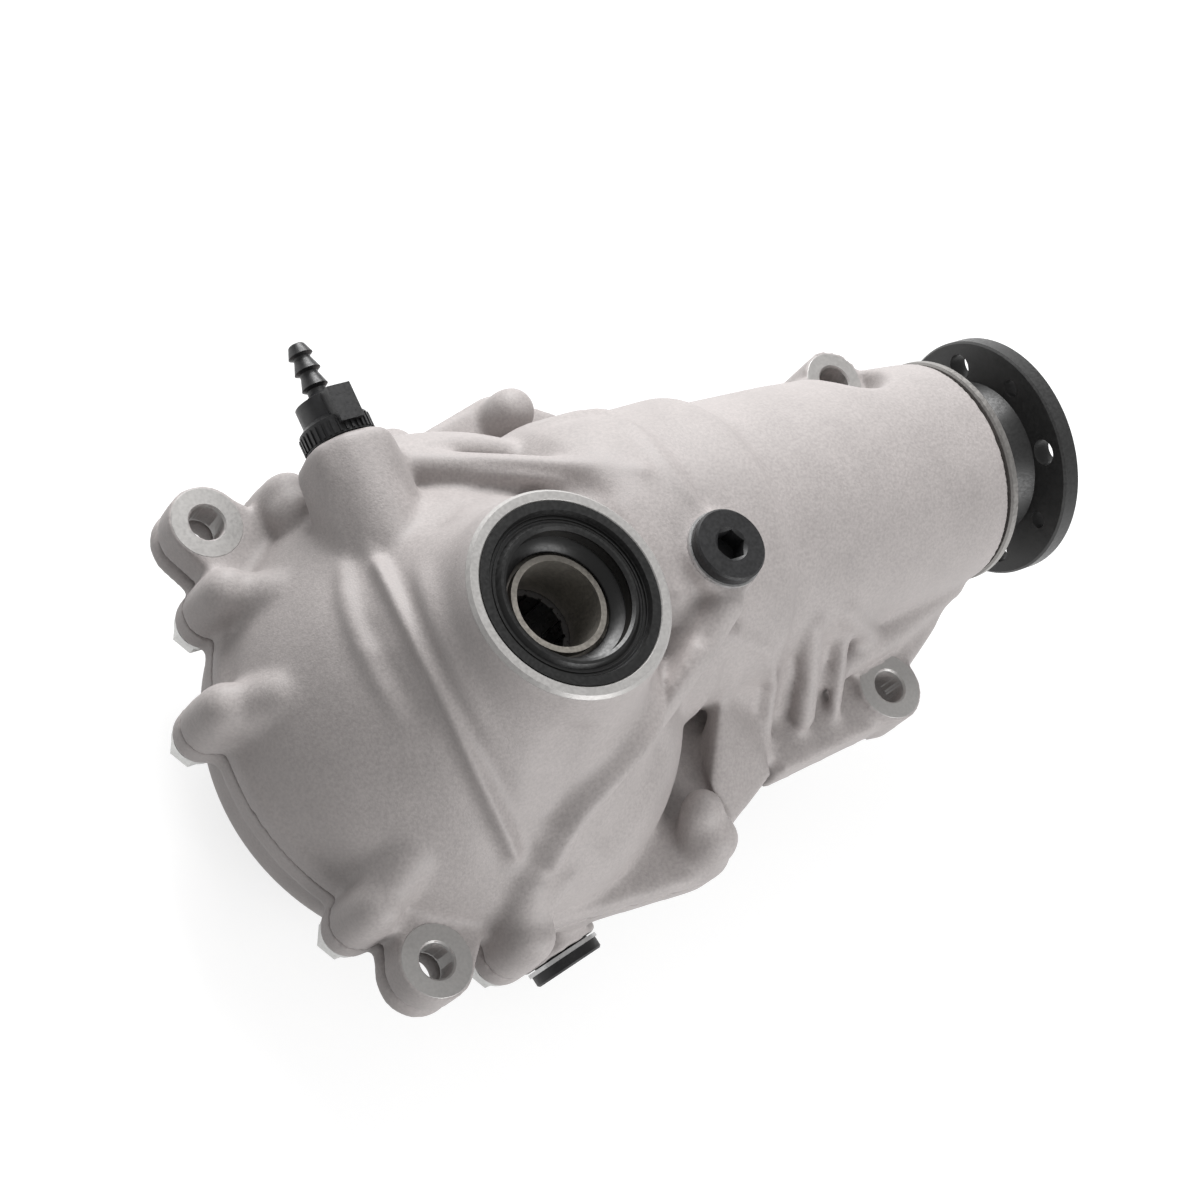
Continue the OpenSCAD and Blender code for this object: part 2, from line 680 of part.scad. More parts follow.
module seal_spring(lip, depth) {
    color("silver") translate([0, 0, -depth + 2]) rotate_extrude()
        translate([lip + 2.6, 0]) circle(r = 0.75, $fn = 24);
}

seal_depth = seal_pocket - 0.5;

module right_output_seal() translate([0, 0, axle_length]) seal_shape(seal_r, seal_lip_r, seal_depth);
module left_output_seal() mirror([0, 0, 1]) seal_shape(seal_r, seal_lip_r, seal_depth);
module pinion_seal() on_pinion(nose_x) seal_shape(pinion_seal_r, input_hub_r + 0.1, seal_depth);

module seal_springs() {
    translate([0, 0, axle_length]) seal_spring(seal_lip_r, seal_depth);
    mirror([0, 0, 1]) seal_spring(seal_lip_r, seal_depth);
    on_pinion(nose_x) seal_spring(input_hub_r + 0.1, seal_depth);
}

// Joint outline between housing and cover: a round part and four corner bosses that
// carry it past the head bearing
corner_x = 66;
corner_low = [corner_x, -80];
corner_high = [corner_x, 93];
bridge_x = web_end_x - 12;
bridge_half = 49;
bridge_low = [bridge_x, pinion_y - bridge_half];
bridge_high = [bridge_x, pinion_y + bridge_half];
corner_r = 12;
bolt_boss_r = 10;
bolt_circle_r = flange_r + bolt_offset;
bolt_angles = [82, 112, 141, 168, 222, 258];
bolt_r = 4;
bolt_bite = 16;
bolt_spots = concat(
    [for (a = bolt_angles) bolt_circle_r * [cos(a), sin(a)]],
    [corner_low, corner_high, bridge_low, bridge_high]
);
dowel_spots = [bolt_spots[3], bridge_low];
dowel_r = 5.6;
dowel_depth = 5;

module joint_plate(low, high) {
    strap([0, 0], flange_r, corner_low, corner_r, low, high);
    strap(corner_low, corner_r, bridge_low, corner_r, low, high);
    strap(bridge_low, corner_r, bridge_high, corner_r, low, high);
    strap(bridge_high, corner_r, corner_high, corner_r, low, high);
    strap(corner_high, corner_r, [0, 0], flange_r, low, high);
    translate([0, 0, low]) linear_extrude(high - low)
        polygon([[0, 0], corner_low, bridge_low, bridge_high, corner_high]);
    for (spot = bolt_spots) translate([each spot, low]) cylinder(r = bolt_boss_r, h = high - low);
}

// Mounting points
ear_high = [-63.5, 84.5];
ear_low = [-52, -84];
lug = [172.5, -49.5];
tube_eye = [193.5, 64];
tube_eye_z = pinion_z + 15;
ear_root = 0.52;
ear_gap = 2;

module ear(spot, low, high) {
    strap(spot, mount_boss_r, spot * ear_root, mount_boss_r + 8, low, high);
}

// Cast bell over the ring gear: half a cosine wave from the joint flange up to the hub
bell_foot_r = flange_r - 3;
bell_low_z = joint_z + flange_t;
bell_high_z = axle_length - 4.5;
hub_neck_r = hub_r + 1.2;
bell_steps = 12;

function bell_line(shrink, from = 0, to = 1) = [
    for (i = [0 : bell_steps])
        let (t = from + (to - from) * i / bell_steps)
        [
            hub_neck_r + (bell_foot_r - hub_neck_r) * (1 + cos(180 * t)) / 2 - shrink,
            bell_low_z + (bell_high_z - bell_low_z) * t
        ]
];

module bell() {
    rotate_extrude() polygon(concat(
        [[0, joint_z + seam], [bell_foot_r, joint_z + seam]], bell_line(0),
        [[hub_r - 0.3, axle_length - 1], [hub_r - 1, axle_length], [0, axle_length]]
    ));
}

// Oil gallery on the breather side
gallery_r = 92;
gallery_z = joint_z + 52;

module gallery() {
    rotate([0, 0, 40]) rotate_extrude(angle = 62) polygon([
        [50, joint_z + seam], [gallery_r - 3, joint_z + seam], [gallery_r, joint_z + 22],
        [gallery_r - 1.5, joint_z + 34], [gallery_r - 6, joint_z + 44],
        [gallery_r - 12, gallery_z], [gallery_r - 17, gallery_z + 0.5],
        [gallery_r - 22, gallery_z - 4], [50, gallery_z - 8]
    ]);
}

// Nose tube with the barrel round the head bearing
module nose() {
    difference() {
        translate([0, pinion_y, pinion_z]) rotate([0, 90, 0]) rotate_extrude() polygon([
            [0, 26], [36, 28], [50, 36], [barrel_collar_r - 2, 46], [barrel_collar_r, 54],
            [barrel_collar_r, head_cone_x + 1.5], [barrel_collar_r - 0.8, head_cone_x + 2.5],
            [barrel_r, head_cone_x + 3.5], [barrel_r, web_end_x - 3], [barrel_r - 1, web_end_x - 1.5],
            [nose_root_r, web_end_x + 1.5],
            [nose_root_r - 2, web_end_x + 45], [nose_r + 1, nose_x - 14], [nose_r, nose_x - 4],
            [nose_r - 0.8, nose_x], [0, nose_x]
        ]);
        translate([-cut, pinion_y - 100, joint_z - 100])
            cube([web_end_x + cut + 1.3, 200, 100 + seam]);
    }
}

bearing_ring_r = HEAD_BEARING[OUTER] + 6;
web_hole_r = 21.5;
head_bore_r = mate_tip(RING_PAIR, pinion_back_x) + 2.5;
tail_bore_r = TAIL_BEARING[BORE] + 9;
tube_inner_r = 30;
tube_inner_end = tail_shoulder_x - 13;

// Rounded finger over each threaded bolt hole, leaning back to the bell
finger_rise = 18;

module bolt_finger(spot) {
    r = bolt_boss_r - 0.5;
    translate([each spot, joint_z]) rotate_extrude() polygon([
        [0, seam], [r, seam], [r, finger_rise], [0.8 * r, finger_rise + 6],
        [0.4 * r, finger_rise + 9], [0, finger_rise + 9]
    ]);
}

plug_spot = [76, 2.4];
plug_rise = 9;
plug_face_z = pinion_z + barrel_r + plug_rise;
plug_collar_t = 4.2;
plug_washer_t = 1.5;
plug_seat_z = plug_face_z - plug_collar_t - plug_washer_t;
plug_boss_r = plug_collar_r + 2.2;
plug_length = 14;

breather_x = -25.5;
breather_z = axle_length - 50;
breather_seat_y = gallery_r - 6;
breather_boss_r = 14;
breather_bore_r = 6;

drain_angle = -80;
drain_seat_r = flange_r + 7.2;
drain_z = joint_z - cover_flange_t - plug_boss_r - 1.4;

module at_drain() rotate([0, 0, drain_angle]) translate([drain_seat_r, 0, drain_z]) rotate([0, 90, 0]) children();
module at_breather() translate([breather_x, breather_seat_y, breather_z]) rotate([-90, 0, 0]) children();

module ribs() {
    // V of two ribs from the lowest bolt up both sides of the hub
    limb([72, -14, axle_length - 24], 6.5, [-18, -84, joint_z + 24], 5);
    limb([-36, -10, axle_length - 28], 5, [-20, -82, joint_z + 22], 5);
    limb([-52, 10, axle_length - 42], 4.5, [-45, -40, joint_z + 30], 4.5);
    // Ribs between tube and foot
    for (x = [web_end_x + 4, web_end_x + 22, web_end_x + 38])
        limb([x, -22, pinion_z + 14], 3, [x - 6, -58, foot_z + 12], 3);
    limb([web_end_x + 30, -22, pinion_z + 22], 5, [lug[0] + 6, lug[1] + 16, mount_face_z - 4], 6);
}

module feet() {
    ear(ear_high, joint_z, mount_face_z);
    ear(ear_low, joint_z, mount_face_z);
    // Foot along the tube, down to the mounting plane
    translate([0, 0, foot_z]) linear_extrude(mount_face_z - foot_z - 4) polygon([
        [web_end_x + 1.4, -20], [web_end_x + 1.4, -66], [lug[0] - 6, lug[1] - mount_boss_r + 1.5],
        [lug[0] + 12, lug[1] + 8], [lug[0] + 8, 0]
    ]);
    strap(lug, mount_boss_r, [lug[0] + 4, -10], 12, foot_z, mount_face_z);
    // Boss beside the tube for the fourth bolt
    strap(tube_eye, mount_boss_r - 1, [tube_eye[0] - 5, 46], mount_boss_r, foot_z, tube_eye_z + 1);
}

// Room for the ring gear, the differential case and the head of the pinion, with the
// bores on both lines
module rooms() {
    bearing_r = CASE_BEARING[OUTER];
    rotate_extrude() polygon(concat(
        [[0, joint_z - cut], [cavity_r, joint_z - cut], [cavity_r, bell_low_z]],
        bell_line(bell_wall, 0.08, 0.66),
        [[bearing_r, right_shoulder_z - 2], [bearing_r, axle_length - lip_depth],
        [bearing_r - 4.5, axle_length - lip_depth], [bearing_r - 4.5, axle_length - seal_pocket],
        [seal_r, axle_length - seal_pocket], [seal_r, axle_length + cut],
        [0, axle_length + cut]]
    ));
    on_pinion(pinion_front_x - 6) cylinder(r = head_bore_r, h = head_cone_x + 9 - pinion_front_x);
    on_pinion(head_cone_x - 2) cylinder(r = HEAD_BEARING[OUTER], h = HEAD_BEARING[WIDTH] + 2);
    translate([0, pinion_y, pinion_z]) rotate([0, 90, 0]) rotate_extrude() polygon([
        [0, head_shoulder_x - cut], [web_hole_r, head_shoulder_x - cut], [web_hole_r, web_end_x],
        [tube_inner_r, web_end_x + 8], [tube_inner_r, tube_inner_end - 6],
        [tail_bore_r, tube_inner_end], [tail_bore_r, tail_shoulder_x],
        [TAIL_BEARING[OUTER], tail_shoulder_x], [TAIL_BEARING[OUTER], nose_x - seal_pocket],
        [pinion_seal_r, nose_x - seal_pocket], [pinion_seal_r, nose_x + cut], [0, nose_x + cut]
    ]);
}

module main_housing() {
    bearing_r = CASE_BEARING[OUTER];
    color([0.74, 0.72, 0.71]) difference() {
        union() {
            joint_plate(joint_z, joint_z + flange_t);
            bell();
            gallery();
            nose();
            on_pinion(head_cone_x + 3) cylinder(r = bearing_ring_r, h = 21);
            for (spot = bolt_spots) bolt_finger(spot);
            feet();
            ribs();
            translate([each plug_spot, joint_z + 40])
                cylinder(r = plug_boss_r, h = plug_seat_z - joint_z - 40);
            at_breather() translate([0, 0, -50]) cylinder(r = breather_boss_r, h = 50);
        }
        rooms();
        // Mounting holes
        for (spot = [ear_high, ear_low])
            translate([each spot, joint_z - cut]) cylinder(r = mount_hole_r, h = ear_rise + 2 * cut);
        translate([each lug, foot_z - cut]) cylinder(r = mount_hole_r, h = mount_face_z - foot_z + 2 * cut);
        translate([each tube_eye, foot_z - cut]) cylinder(r = mount_hole_r, h = tube_eye_z - foot_z + 2 * cut);
        translate([each tube_eye, tube_eye_z]) cylinder(r = mount_boss_r - 0.5, h = 40);
        // Threaded holes for the cover bolts, and dowel pockets
        for (spot = bolt_spots)
            translate([each spot, joint_z - cut]) cylinder(r = bolt_r, h = bolt_bite + 2 + cut, $fn = 32);
        for (spot = dowel_spots)
            translate([each spot, joint_z - cut]) cylinder(r = dowel_r, h = dowel_depth + cut, $fn = 48);
        // Plug and breather holes
        translate([each plug_spot, pinion_z + 5]) cylinder(r = plug_thread_r, h = axle_length);
        at_breather() translate([0, 0, -45]) cylinder(r = breather_bore_r, h = 60, $fn = 48);
    }
}

// Cover: a rounded pan round the ring gear and a half barrel round the head bearing
pan_r = cavity_r + cover_wall;
pan_round = 16;
barrel_gap = 1.2;
spigot_r = hub_r + 3;
spigot_length = 10;
groove_z = 3.5;
groove_w = 3;
groove_depth = 2.2;

function quarter(centre, r, from, to) =
    [for (i = [0 : 5]) let (a = from + (to - from) * i / 5) centre + r * [cos(a), sin(a)]];

module side_cover() {
    floor_top = cover_floor_z + cover_wall;
    bearing_r = CASE_BEARING[OUTER];
    ring_top = bearing_ring_r + barrel_gap;
    color([0.72, 0.70, 0.69]) difference() {
        union() {
            joint_plate(joint_z - cover_flange_t, joint_z);
            rotate_extrude() polygon(concat(
                [[0, 0], [spigot_r - 1, 0], [spigot_r, 1], [spigot_r, spigot_length],
                [spigot_r + 5, cover_floor_z]],
                quarter([pan_r - pan_round, cover_floor_z + pan_round], pan_round, -90, 0),
                [[pan_r, joint_z - seam], [0, joint_z - seam]]
            ));
            difference() {
                on_pinion(30) cylinder(r = ring_top + cover_wall, h = bridge_x + 5 - 30);
                translate([0, -100, joint_z - seam]) cube([200, 300, 100]);
            }
            for (spot = [ear_high, ear_low]) {
                ear(spot, joint_z - cover_flange_t, joint_z - ear_gap);
                translate([each spot, joint_z - cover_flange_t]) cylinder(r = 9.5, h = cover_flange_t);
            }
            at_drain() translate([0, 0, -24]) cylinder(r = plug_boss_r, h = 24);
        }
        rotate_extrude() polygon(concat(
            [[bearing_r + 5, left_shoulder_z - 2], [bearing_r + 5, floor_top + 3],
            [bearing_r + 8, floor_top]],
            quarter([cavity_r - pan_round + 4, floor_top + pan_round - 4], pan_round - 4, -90, 0),
            [[cavity_r, joint_z + cut], [0, joint_z + cut], [0, left_shoulder_z - 2]]
        ));
        translate([0, 0, lip_depth]) cylinder(r = bearing_r, h = joint_z);
        translate([0, 0, -cut]) cylinder(r = bearing_r - 4.5, h = joint_z);
        translate([0, 0, -cut]) cylinder(r = seal_r, h = seal_pocket + cut);
        on_pinion(30) cylinder(r = ring_top, h = bridge_x - 30);
        for (spot = bolt_spots)
            translate([each spot, joint_z - cover_flange_t - cut])
                cylinder(r = bolt_r + 0.4, h = cover_flange_t + 2 * cut, $fn = 32);
        for (spot = dowel_spots)
            translate([each spot, joint_z - dowel_depth]) cylinder(r = dowel_r, h = dowel_depth + cut, $fn = 48);
        for (spot = [ear_high, ear_low])
            translate([each spot, joint_z - cover_flange_t - cut])
                cylinder(r = mount_hole_r, h = cover_flange_t + 2 * cut);
        at_drain() translate([0, 0, -20]) cylinder(r = plug_thread_r, h = 40);
        translate([0, 0, groove_z]) difference() {
            cylinder(r = spigot_r + cut, h = groove_w);
            translate([0, 0, -cut]) cylinder(r = spigot_r - groove_depth, h = groove_w + 2 * cut);
        }
    }
}

module cover_bolts() {
    head_z = joint_z - cover_flange_t;
    color("lightgray") for (spot = bolt_spots) translate([each spot, 0]) {
        translate([0, 0, head_z]) cylinder(r = bolt_r - press_gap, h = cover_flange_t + bolt_bite, $fn = 32);
        translate([0, 0, head_z - 2]) cylinder(r = 8.5, h = 2, $fn = 48);
        translate([0, 0, head_z - 8]) cylinder(r = 7.5, h = 6.5, $fn = 6);
    }
}

module dowel_sleeves() {
    color("silver") for (spot = dowel_spots)
        translate([each spot, joint_z - dowel_depth + 0.2]) difference() {
            cylinder(r = dowel_r - press_gap, h = 2 * dowel_depth - 0.4, $fn = 48);
            translate([0, 0, -cut]) cylinder(r = dowel_r - 0.9, h = 2 * dowel_depth + 2 * cut, $fn = 48);
        }
}

module hub_o_ring() {
    color([0.08, 0.08, 0.08]) translate([0, 0, groove_z + groove_w / 2]) rotate_extrude()
        translate([spigot_r - groove_depth + 1.4, 0]) circle(r = 1.38, $fn = 24);
}

module shim(r, t) {
    color("silver") difference() {
        cylinder(r = r - 0.1, h = t);
        translate([0, 0, -cut]) cylinder(r = r - 4, h = t + 2 * cut);
    }
}

module right_case_shim()
    translate([0, 0, axle_length - lip_depth - case_shim]) shim(CASE_BEARING[OUTER], case_shim);
module left_case_shim() translate([0, 0, lip_depth]) shim(CASE_BEARING[OUTER], case_shim);

// Screw plug, drawn along Z with the collar's seat at zero
module plug_shape(socket) {
    color([0.16, 0.16, 0.17]) difference() {
        union() {
            translate([0, 0, -plug_length]) cylinder(r = plug_thread_r - press_gap, h = plug_length);
            rotate_extrude() polygon([
                [0, 0], [plug_collar_r, 0], [plug_collar_r, plug_collar_t - 0.7],
                [plug_collar_r - 0.7, plug_collar_t], [0, plug_collar_t]
            ]);
        }
        translate([0, 0, plug_collar_t - 8]) cylinder(r = socket / 2 / cos(30), h = 9, $fn = 6);
        translate([0, 0, plug_collar_t - 1])
            cylinder(r1 = socket / 2 - 0.2, r2 = socket / 2 + 1.3, h = 1.01, $fn = 48);
    }
}

module plug_washer() {
    color("silver") difference() {
        cylinder(r = plug_collar_r + 0.8, h = plug_washer_t);
        translate([0, 0, -cut]) cylinder(r = plug_thread_r + 0.1, h = plug_washer_t + 2 * cut);
    }
}

module filler_plug() translate([each plug_spot, plug_seat_z + plug_washer_t]) plug_shape(plug_socket);
module filler_plug_washer() translate([each plug_spot, plug_seat_z]) plug_washer();
module drain_plug() at_drain() translate([0, 0, plug_washer_t]) plug_shape(plug_socket);
module drain_plug_washer() at_drain() plug_washer();

// Breather: a barbed pipe in a latch collar
module breather_body() {
    barb = 4.75;
    color([0.08, 0.08, 0.08]) at_breather() difference() {
        union() {
            translate([0, 0, -12]) cylinder(r = breather_bore_r - 0.4, h = 12);
            rotate_extrude() polygon([
                [0, -6], [breather_bore_r - press_gap, -6], [breather_bore_r - press_gap, 0],
                [8, 0], [8, 17], [4.6, 18.5], [3.4, 19.5], [3.4, 21],
                [barb, 22], [3.3, 26.5], [3.3, 27.5], [barb, 28.3], [3.1, 32.6], [3.1, 33.5],
                [barb - 0.3, 34.3], [3, 38], [2.6, 38.4], [0, 38.4]
            ]);
        }
        translate([0, 0, -13]) cylinder(r = 1.6, h = 60, $fn = 32);
    }
}

module breather_collar() {
    color([0.09, 0.09, 0.09]) at_breather() difference() {
        union() {
            cylinder(r = breather_r, h = 7);
            for (i = [0 : 35]) rotate([0, 0, i * 10])
                translate([breather_r - 0.2, -0.5, 0.6]) cube([0.8, 1, 5.4]);
            translate([0, 0, 7]) cylinder(r1 = breather_r, r2 = breather_r - 2.6, h = 2);
            cylinder(r = breather_r - 2.6, h = 16.5);
            translate([-4.5, -breather_r - 2.2, 3]) cube([9, 6, 13]);
        }
        translate([0, 0, -cut]) cylinder(r = 8 + press_gap, h = 20);
    }
}

module breather_o_ring() {
    color([0.07, 0.07, 0.07]) at_breather() translate([0, 0, -8]) difference() {
        cylinder(r = breather_bore_r - press_gap, h = 1.9, $fn = 48);
        translate([0, 0, -cut]) cylinder(r = breather_bore_r - 0.39, h = 4, $fn = 48);
    }
}

main_housing();
side_cover();
cover_bolts();
dowel_sleeves();
hub_o_ring();
right_output_seal();
left_output_seal();
pinion_seal();
seal_springs();
filler_plug();
filler_plug_washer();
drain_plug();
drain_plug_washer();
breather_body();
breather_collar();
breather_o_ring();
right_case_shim();
left_case_shim();
right_case_cup();
left_case_cup();
head_cup();
tail_cup();
right_case_cone();
left_case_cone();
head_cone();
tail_cone();
right_case_rollers();
left_case_rollers();
head_rollers();
tail_rollers();
right_case_cage();
left_case_cage();
head_cage();
tail_cage();
differential_case();
ring_gear();
ring_gear_bolts();
cross_pin();
cross_pin_lock();
side_gear_washers();
planet_washers();
right_side_gear();
left_side_gear();
upper_planet_gear();
lower_planet_gear();
drive_pinion();
pinion_shim();
crush_sleeve();
input_flange();
pinion_nut();
dust_shield();
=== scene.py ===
"""Front axle differential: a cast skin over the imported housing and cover, machined faces,
seal lips, and a finish for every carried piece. Lengths are in metres, and in millimetres
in the tables of cast forms."""

import json

import bmesh
import bpy
import numpy as np
from bpy.props import FloatProperty, FloatVectorProperty, IntProperty, PointerProperty
from mathutils import Matrix, Vector


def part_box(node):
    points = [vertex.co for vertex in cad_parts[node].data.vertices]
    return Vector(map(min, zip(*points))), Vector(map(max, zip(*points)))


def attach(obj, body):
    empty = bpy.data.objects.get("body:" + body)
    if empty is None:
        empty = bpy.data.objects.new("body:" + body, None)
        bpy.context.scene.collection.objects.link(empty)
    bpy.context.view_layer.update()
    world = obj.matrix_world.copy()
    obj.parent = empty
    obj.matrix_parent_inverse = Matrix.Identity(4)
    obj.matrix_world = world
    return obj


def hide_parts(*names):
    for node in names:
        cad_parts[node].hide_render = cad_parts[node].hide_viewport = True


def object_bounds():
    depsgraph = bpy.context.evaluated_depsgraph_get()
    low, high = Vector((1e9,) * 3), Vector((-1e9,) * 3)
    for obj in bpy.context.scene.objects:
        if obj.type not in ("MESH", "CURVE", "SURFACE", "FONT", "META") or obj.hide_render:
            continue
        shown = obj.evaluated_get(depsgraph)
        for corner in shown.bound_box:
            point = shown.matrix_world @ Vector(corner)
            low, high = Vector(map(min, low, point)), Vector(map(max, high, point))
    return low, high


bl_info = {
    "name": "Front Axle Differential",
    "version": (1, 0, 0),
    "blender": (4, 5, 0),
    "location": "3D View > Sidebar > Differential",
    "description": "Dresses the packed differential with cast, machined, rubber and plastic finishes",
    "category": "Object",
}

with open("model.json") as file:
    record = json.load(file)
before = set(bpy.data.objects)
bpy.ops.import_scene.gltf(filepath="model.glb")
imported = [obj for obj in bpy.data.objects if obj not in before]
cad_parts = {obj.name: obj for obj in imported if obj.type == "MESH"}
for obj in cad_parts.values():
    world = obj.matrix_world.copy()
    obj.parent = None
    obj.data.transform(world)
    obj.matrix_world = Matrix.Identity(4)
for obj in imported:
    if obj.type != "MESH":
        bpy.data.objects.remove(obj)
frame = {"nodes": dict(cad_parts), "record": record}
NODES = frame["nodes"]
MOUNTS = {m["name"]: m for m in frame["record"]["mounts"]}
CAD_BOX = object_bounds()

# Gap between the end of the nose and the dust shield
SHIELD_GAP = 0.002

AXLE_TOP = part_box("main_housing")[1].z
NOSE_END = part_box("dust_shield")[0].x - SHIELD_GAP
PINION_LINE = Vector(MOUNTS["input_flange_bolts"]["pos_m"])
PINION_Y = MOUNTS["input_flange_bolts"]["pos_m"][1]
JOINT_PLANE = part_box("side_cover")[1].z
AXLE_FOOT = (0.0, 0.0, 0.0)
ALONG_AXLE = (0.0, 0.0, 1.0)
ALONG_PINION = (1.0, 0.0, 0.0)
BOLTED_HOLES = ("high_ear_hole", "low_ear_hole", "foot_lug_hole", "tube_eye_hole")


class CastingSettings(bpy.types.PropertyGroup):
    """Sizes and colours of the cast housing and cover."""

    voxel: FloatProperty(
        name="Skin cell", description="Cell size of the cast skin", default=0.0013,
        min=0.0008, max=0.004, subtype="DISTANCE", unit="LENGTH")
    fillet_passes: IntProperty(
        name="Fillet passes", description="How far corners between cast forms are filled",
        default=9, min=0, max=80)
    edge_loss: FloatProperty(
        name="Edge rounding", description="Most that an outer edge is rounded away",
        default=0.0005, min=0.0, max=0.004, subtype="DISTANCE", unit="LENGTH")
    triangles: IntProperty(
        name="Triangles", description="Triangles that a finished casting keeps",
        default=190000, min=20000, max=199000)
    colour: FloatVectorProperty(
        name="Cast colour", description="Colour of the blasted cast aluminium",
        default=(0.37, 0.342, 0.335), min=0.0, max=1.0, size=3, subtype="COLOR")
    machined_colour: FloatVectorProperty(
        name="Machined colour", description="Colour of the milled and turned faces",
        default=(0.40, 0.39, 0.38), min=0.0, max=1.0, size=3, subtype="COLOR")


class FittingSettings(bpy.types.PropertyGroup):
    """Colours of the steel, rubber and plastic pieces."""

    flange_black: FloatVectorProperty(
        name="Flange colour", description="Colour of the black input flange",
        default=(0.022, 0.022, 0.022), min=0.0, max=1.0, size=3, subtype="COLOR")
    plug_grey: FloatVectorProperty(
        name="Plug colour", description="Colour of the phosphated plugs",
        default=(0.018, 0.018, 0.019), min=0.0, max=1.0, size=3, subtype="COLOR")
    rubber_black: FloatVectorProperty(
        name="Rubber colour", description="Colour of the seals",
        default=(0.007, 0.007, 0.007), min=0.0, max=1.0, size=3, subtype="COLOR")
    plastic_black: FloatVectorProperty(
        name="Plastic colour", description="Colour of the breather",
        default=(0.014, 0.014, 0.015), min=0.0, max=1.0, size=3, subtype="COLOR")


class StageSettings(bpy.types.PropertyGroup):
    """Floor, light and camera."""

    floor_colour: FloatVectorProperty(
        name="Floor colour", description="Colour of the floor and backdrop",
        default=(0.9, 0.9, 0.9), min=0.0, max=1.0, size=3, subtype="COLOR")
    key_power: FloatProperty(
        name="Key light", description="Power of the soft light over the breather side",
        default=22.0, min=0.0, max=200.0, unit="POWER")
    fill_power: FloatProperty(
        name="Fill light", description="Power of the fill light beside the camera",
        default=10.0, min=0.0, max=200.0, unit="POWER")
    sky: FloatProperty(
        name="Surrounding light", description="Strength of the light from all round",
        default=0.42, min=0.0, max=5.0)
    focal_length: FloatProperty(
        name="Lens", description="Focal length on a 36 mm wide frame, in millimetres",
        default=86.52, min=20.0, max=300.0, unit="CAMERA")


# Shapes

# How far the skin stays inside its CAD node's box, and how much wider than its rib a valley is
BOX_MARGIN = 0.00015
VALLEY_WIDTH = 2.6

# Distance within which the CAD's loose points are one, and the smoothing passes over a skin
# before and after its fillets are made
WELD_DISTANCE = 2e-6
FIRST_PASSES = 2
LAST_PASSES = 3

# Segments round each kind of turned shape
LIMB_SEGMENTS = 28
HOLE_SEGMENTS = 72
SEAL_SEGMENTS = 128
HUB_SEGMENTS = 160


def mesh_object(name, points, faces, smooth=True):
    """A new mesh object from an array of points and an array of quads or triangles."""
    mesh = bpy.data.meshes.new(name)
    mesh.from_pydata(points.tolist(), [], [list(f) for f in faces])
    mesh.validate()
    mesh.polygons.foreach_set("use_smooth", np.full(len(mesh.polygons), smooth))
    piece = bpy.data.objects.new(name, mesh)
    bpy.context.scene.collection.objects.link(piece)
    return piece


def ring_faces(rows, columns):
    """Quads of a grid that is closed both ways: each row joins the next, and the last the first."""
    i, j = np.meshgrid(np.arange(rows), np.arange(columns), indexing="ij")
    a = i * columns + j
    b = i * columns + (j + 1) % columns
    c = (i + 1) % rows * columns + (j + 1) % columns
    d = (i + 1) % rows * columns + j
    return np.stack([a, b, c, d], axis=-1).reshape(-1, 4)


def frame_along(axis):
    """Two unit vectors across an axis, and the axis itself, as the rows of an array."""
    axis = np.array(axis, float)
    axis /= np.linalg.norm(axis)
    side = np.cross(axis, [0.0, 0.0, 1.0])
    if np.linalg.norm(side) < 0.1:
        side = np.cross(axis, [0.0, 1.0, 0.0])
    side /= np.linalg.norm(side)
    return np.stack([side, np.cross(axis, side), axis])


def turned(profile, centre, axis, segments):
    """Points and faces of a closed turned ring: each profile point (radius, height) is carried
    round the axis, so a point is centre + radius (cos u + sin v) + height w."""
    profile = np.array(profile, float)
    angle = np.linspace(0, 2 * np.pi, segments, endpoint=False)
    radius = np.repeat(profile[:, :1], segments, axis=1)
    u, v, w = frame_along(axis)
    points = (
        np.array(centre, float)
        + (radius * np.cos(angle))[..., None] * u
        + (radius * np.sin(angle))[..., None] * v
        + profile[:, 1][:, None, None] * w
    ).reshape(-1, 3)
    return points, ring_faces(len(profile), segments)


def joined(parts):
    """One points array and one faces array from several."""
    points, faces = [], []
    count = 0
    for part_points, part_faces in parts:
        points.append(part_points)
        faces += (np.asarray(part_faces) + count).tolist()
        count += len(part_points)
    return np.concatenate(points), faces


def outward(piece):
    """Turns a closed piece's faces to point outwards."""
    bpy.context.view_layer.objects.active = piece
    for other in bpy.context.selected_objects:
        other.select_set(False)
    piece.select_set(True)
    bpy.ops.object.mode_set(mode="EDIT")
    bpy.ops.mesh.select_all(action="SELECT")
    bpy.ops.mesh.normals_make_consistent(inside=False)
    bpy.ops.object.mode_set(mode="OBJECT")
    piece.select_set(False)
    return piece


def crease_by_angle(piece, degrees):
    """Marks edges sharper than the angle, so that smooth shading stops at them."""
    bpy.context.view_layer.objects.active = piece
    piece.select_set(True)
    bpy.ops.object.shade_smooth_by_angle(angle=np.radians(degrees))
    piece.select_set(False)


def apply_modifier(piece, kind, **values):
    """Adds one modifier with the given values and applies it."""
    modifier = piece.modifiers.new(kind.title(), kind)
    for key, value in values.items():
        setattr(modifier, key, value)
    bpy.context.view_layer.objects.active = piece
    bpy.ops.object.modifier_apply(modifier=modifier.name)


def merged_copy(node, name):
    """A copy of a CAD node whose loose triangles are welded into one closed skin."""
    piece = bpy.data.objects.new(name, NODES[node].data.copy())
    piece.data.materials.clear()
    bpy.context.scene.collection.objects.link(piece)
    apply_modifier(piece, "WELD", merge_threshold=WELD_DISTANCE)
    return piece


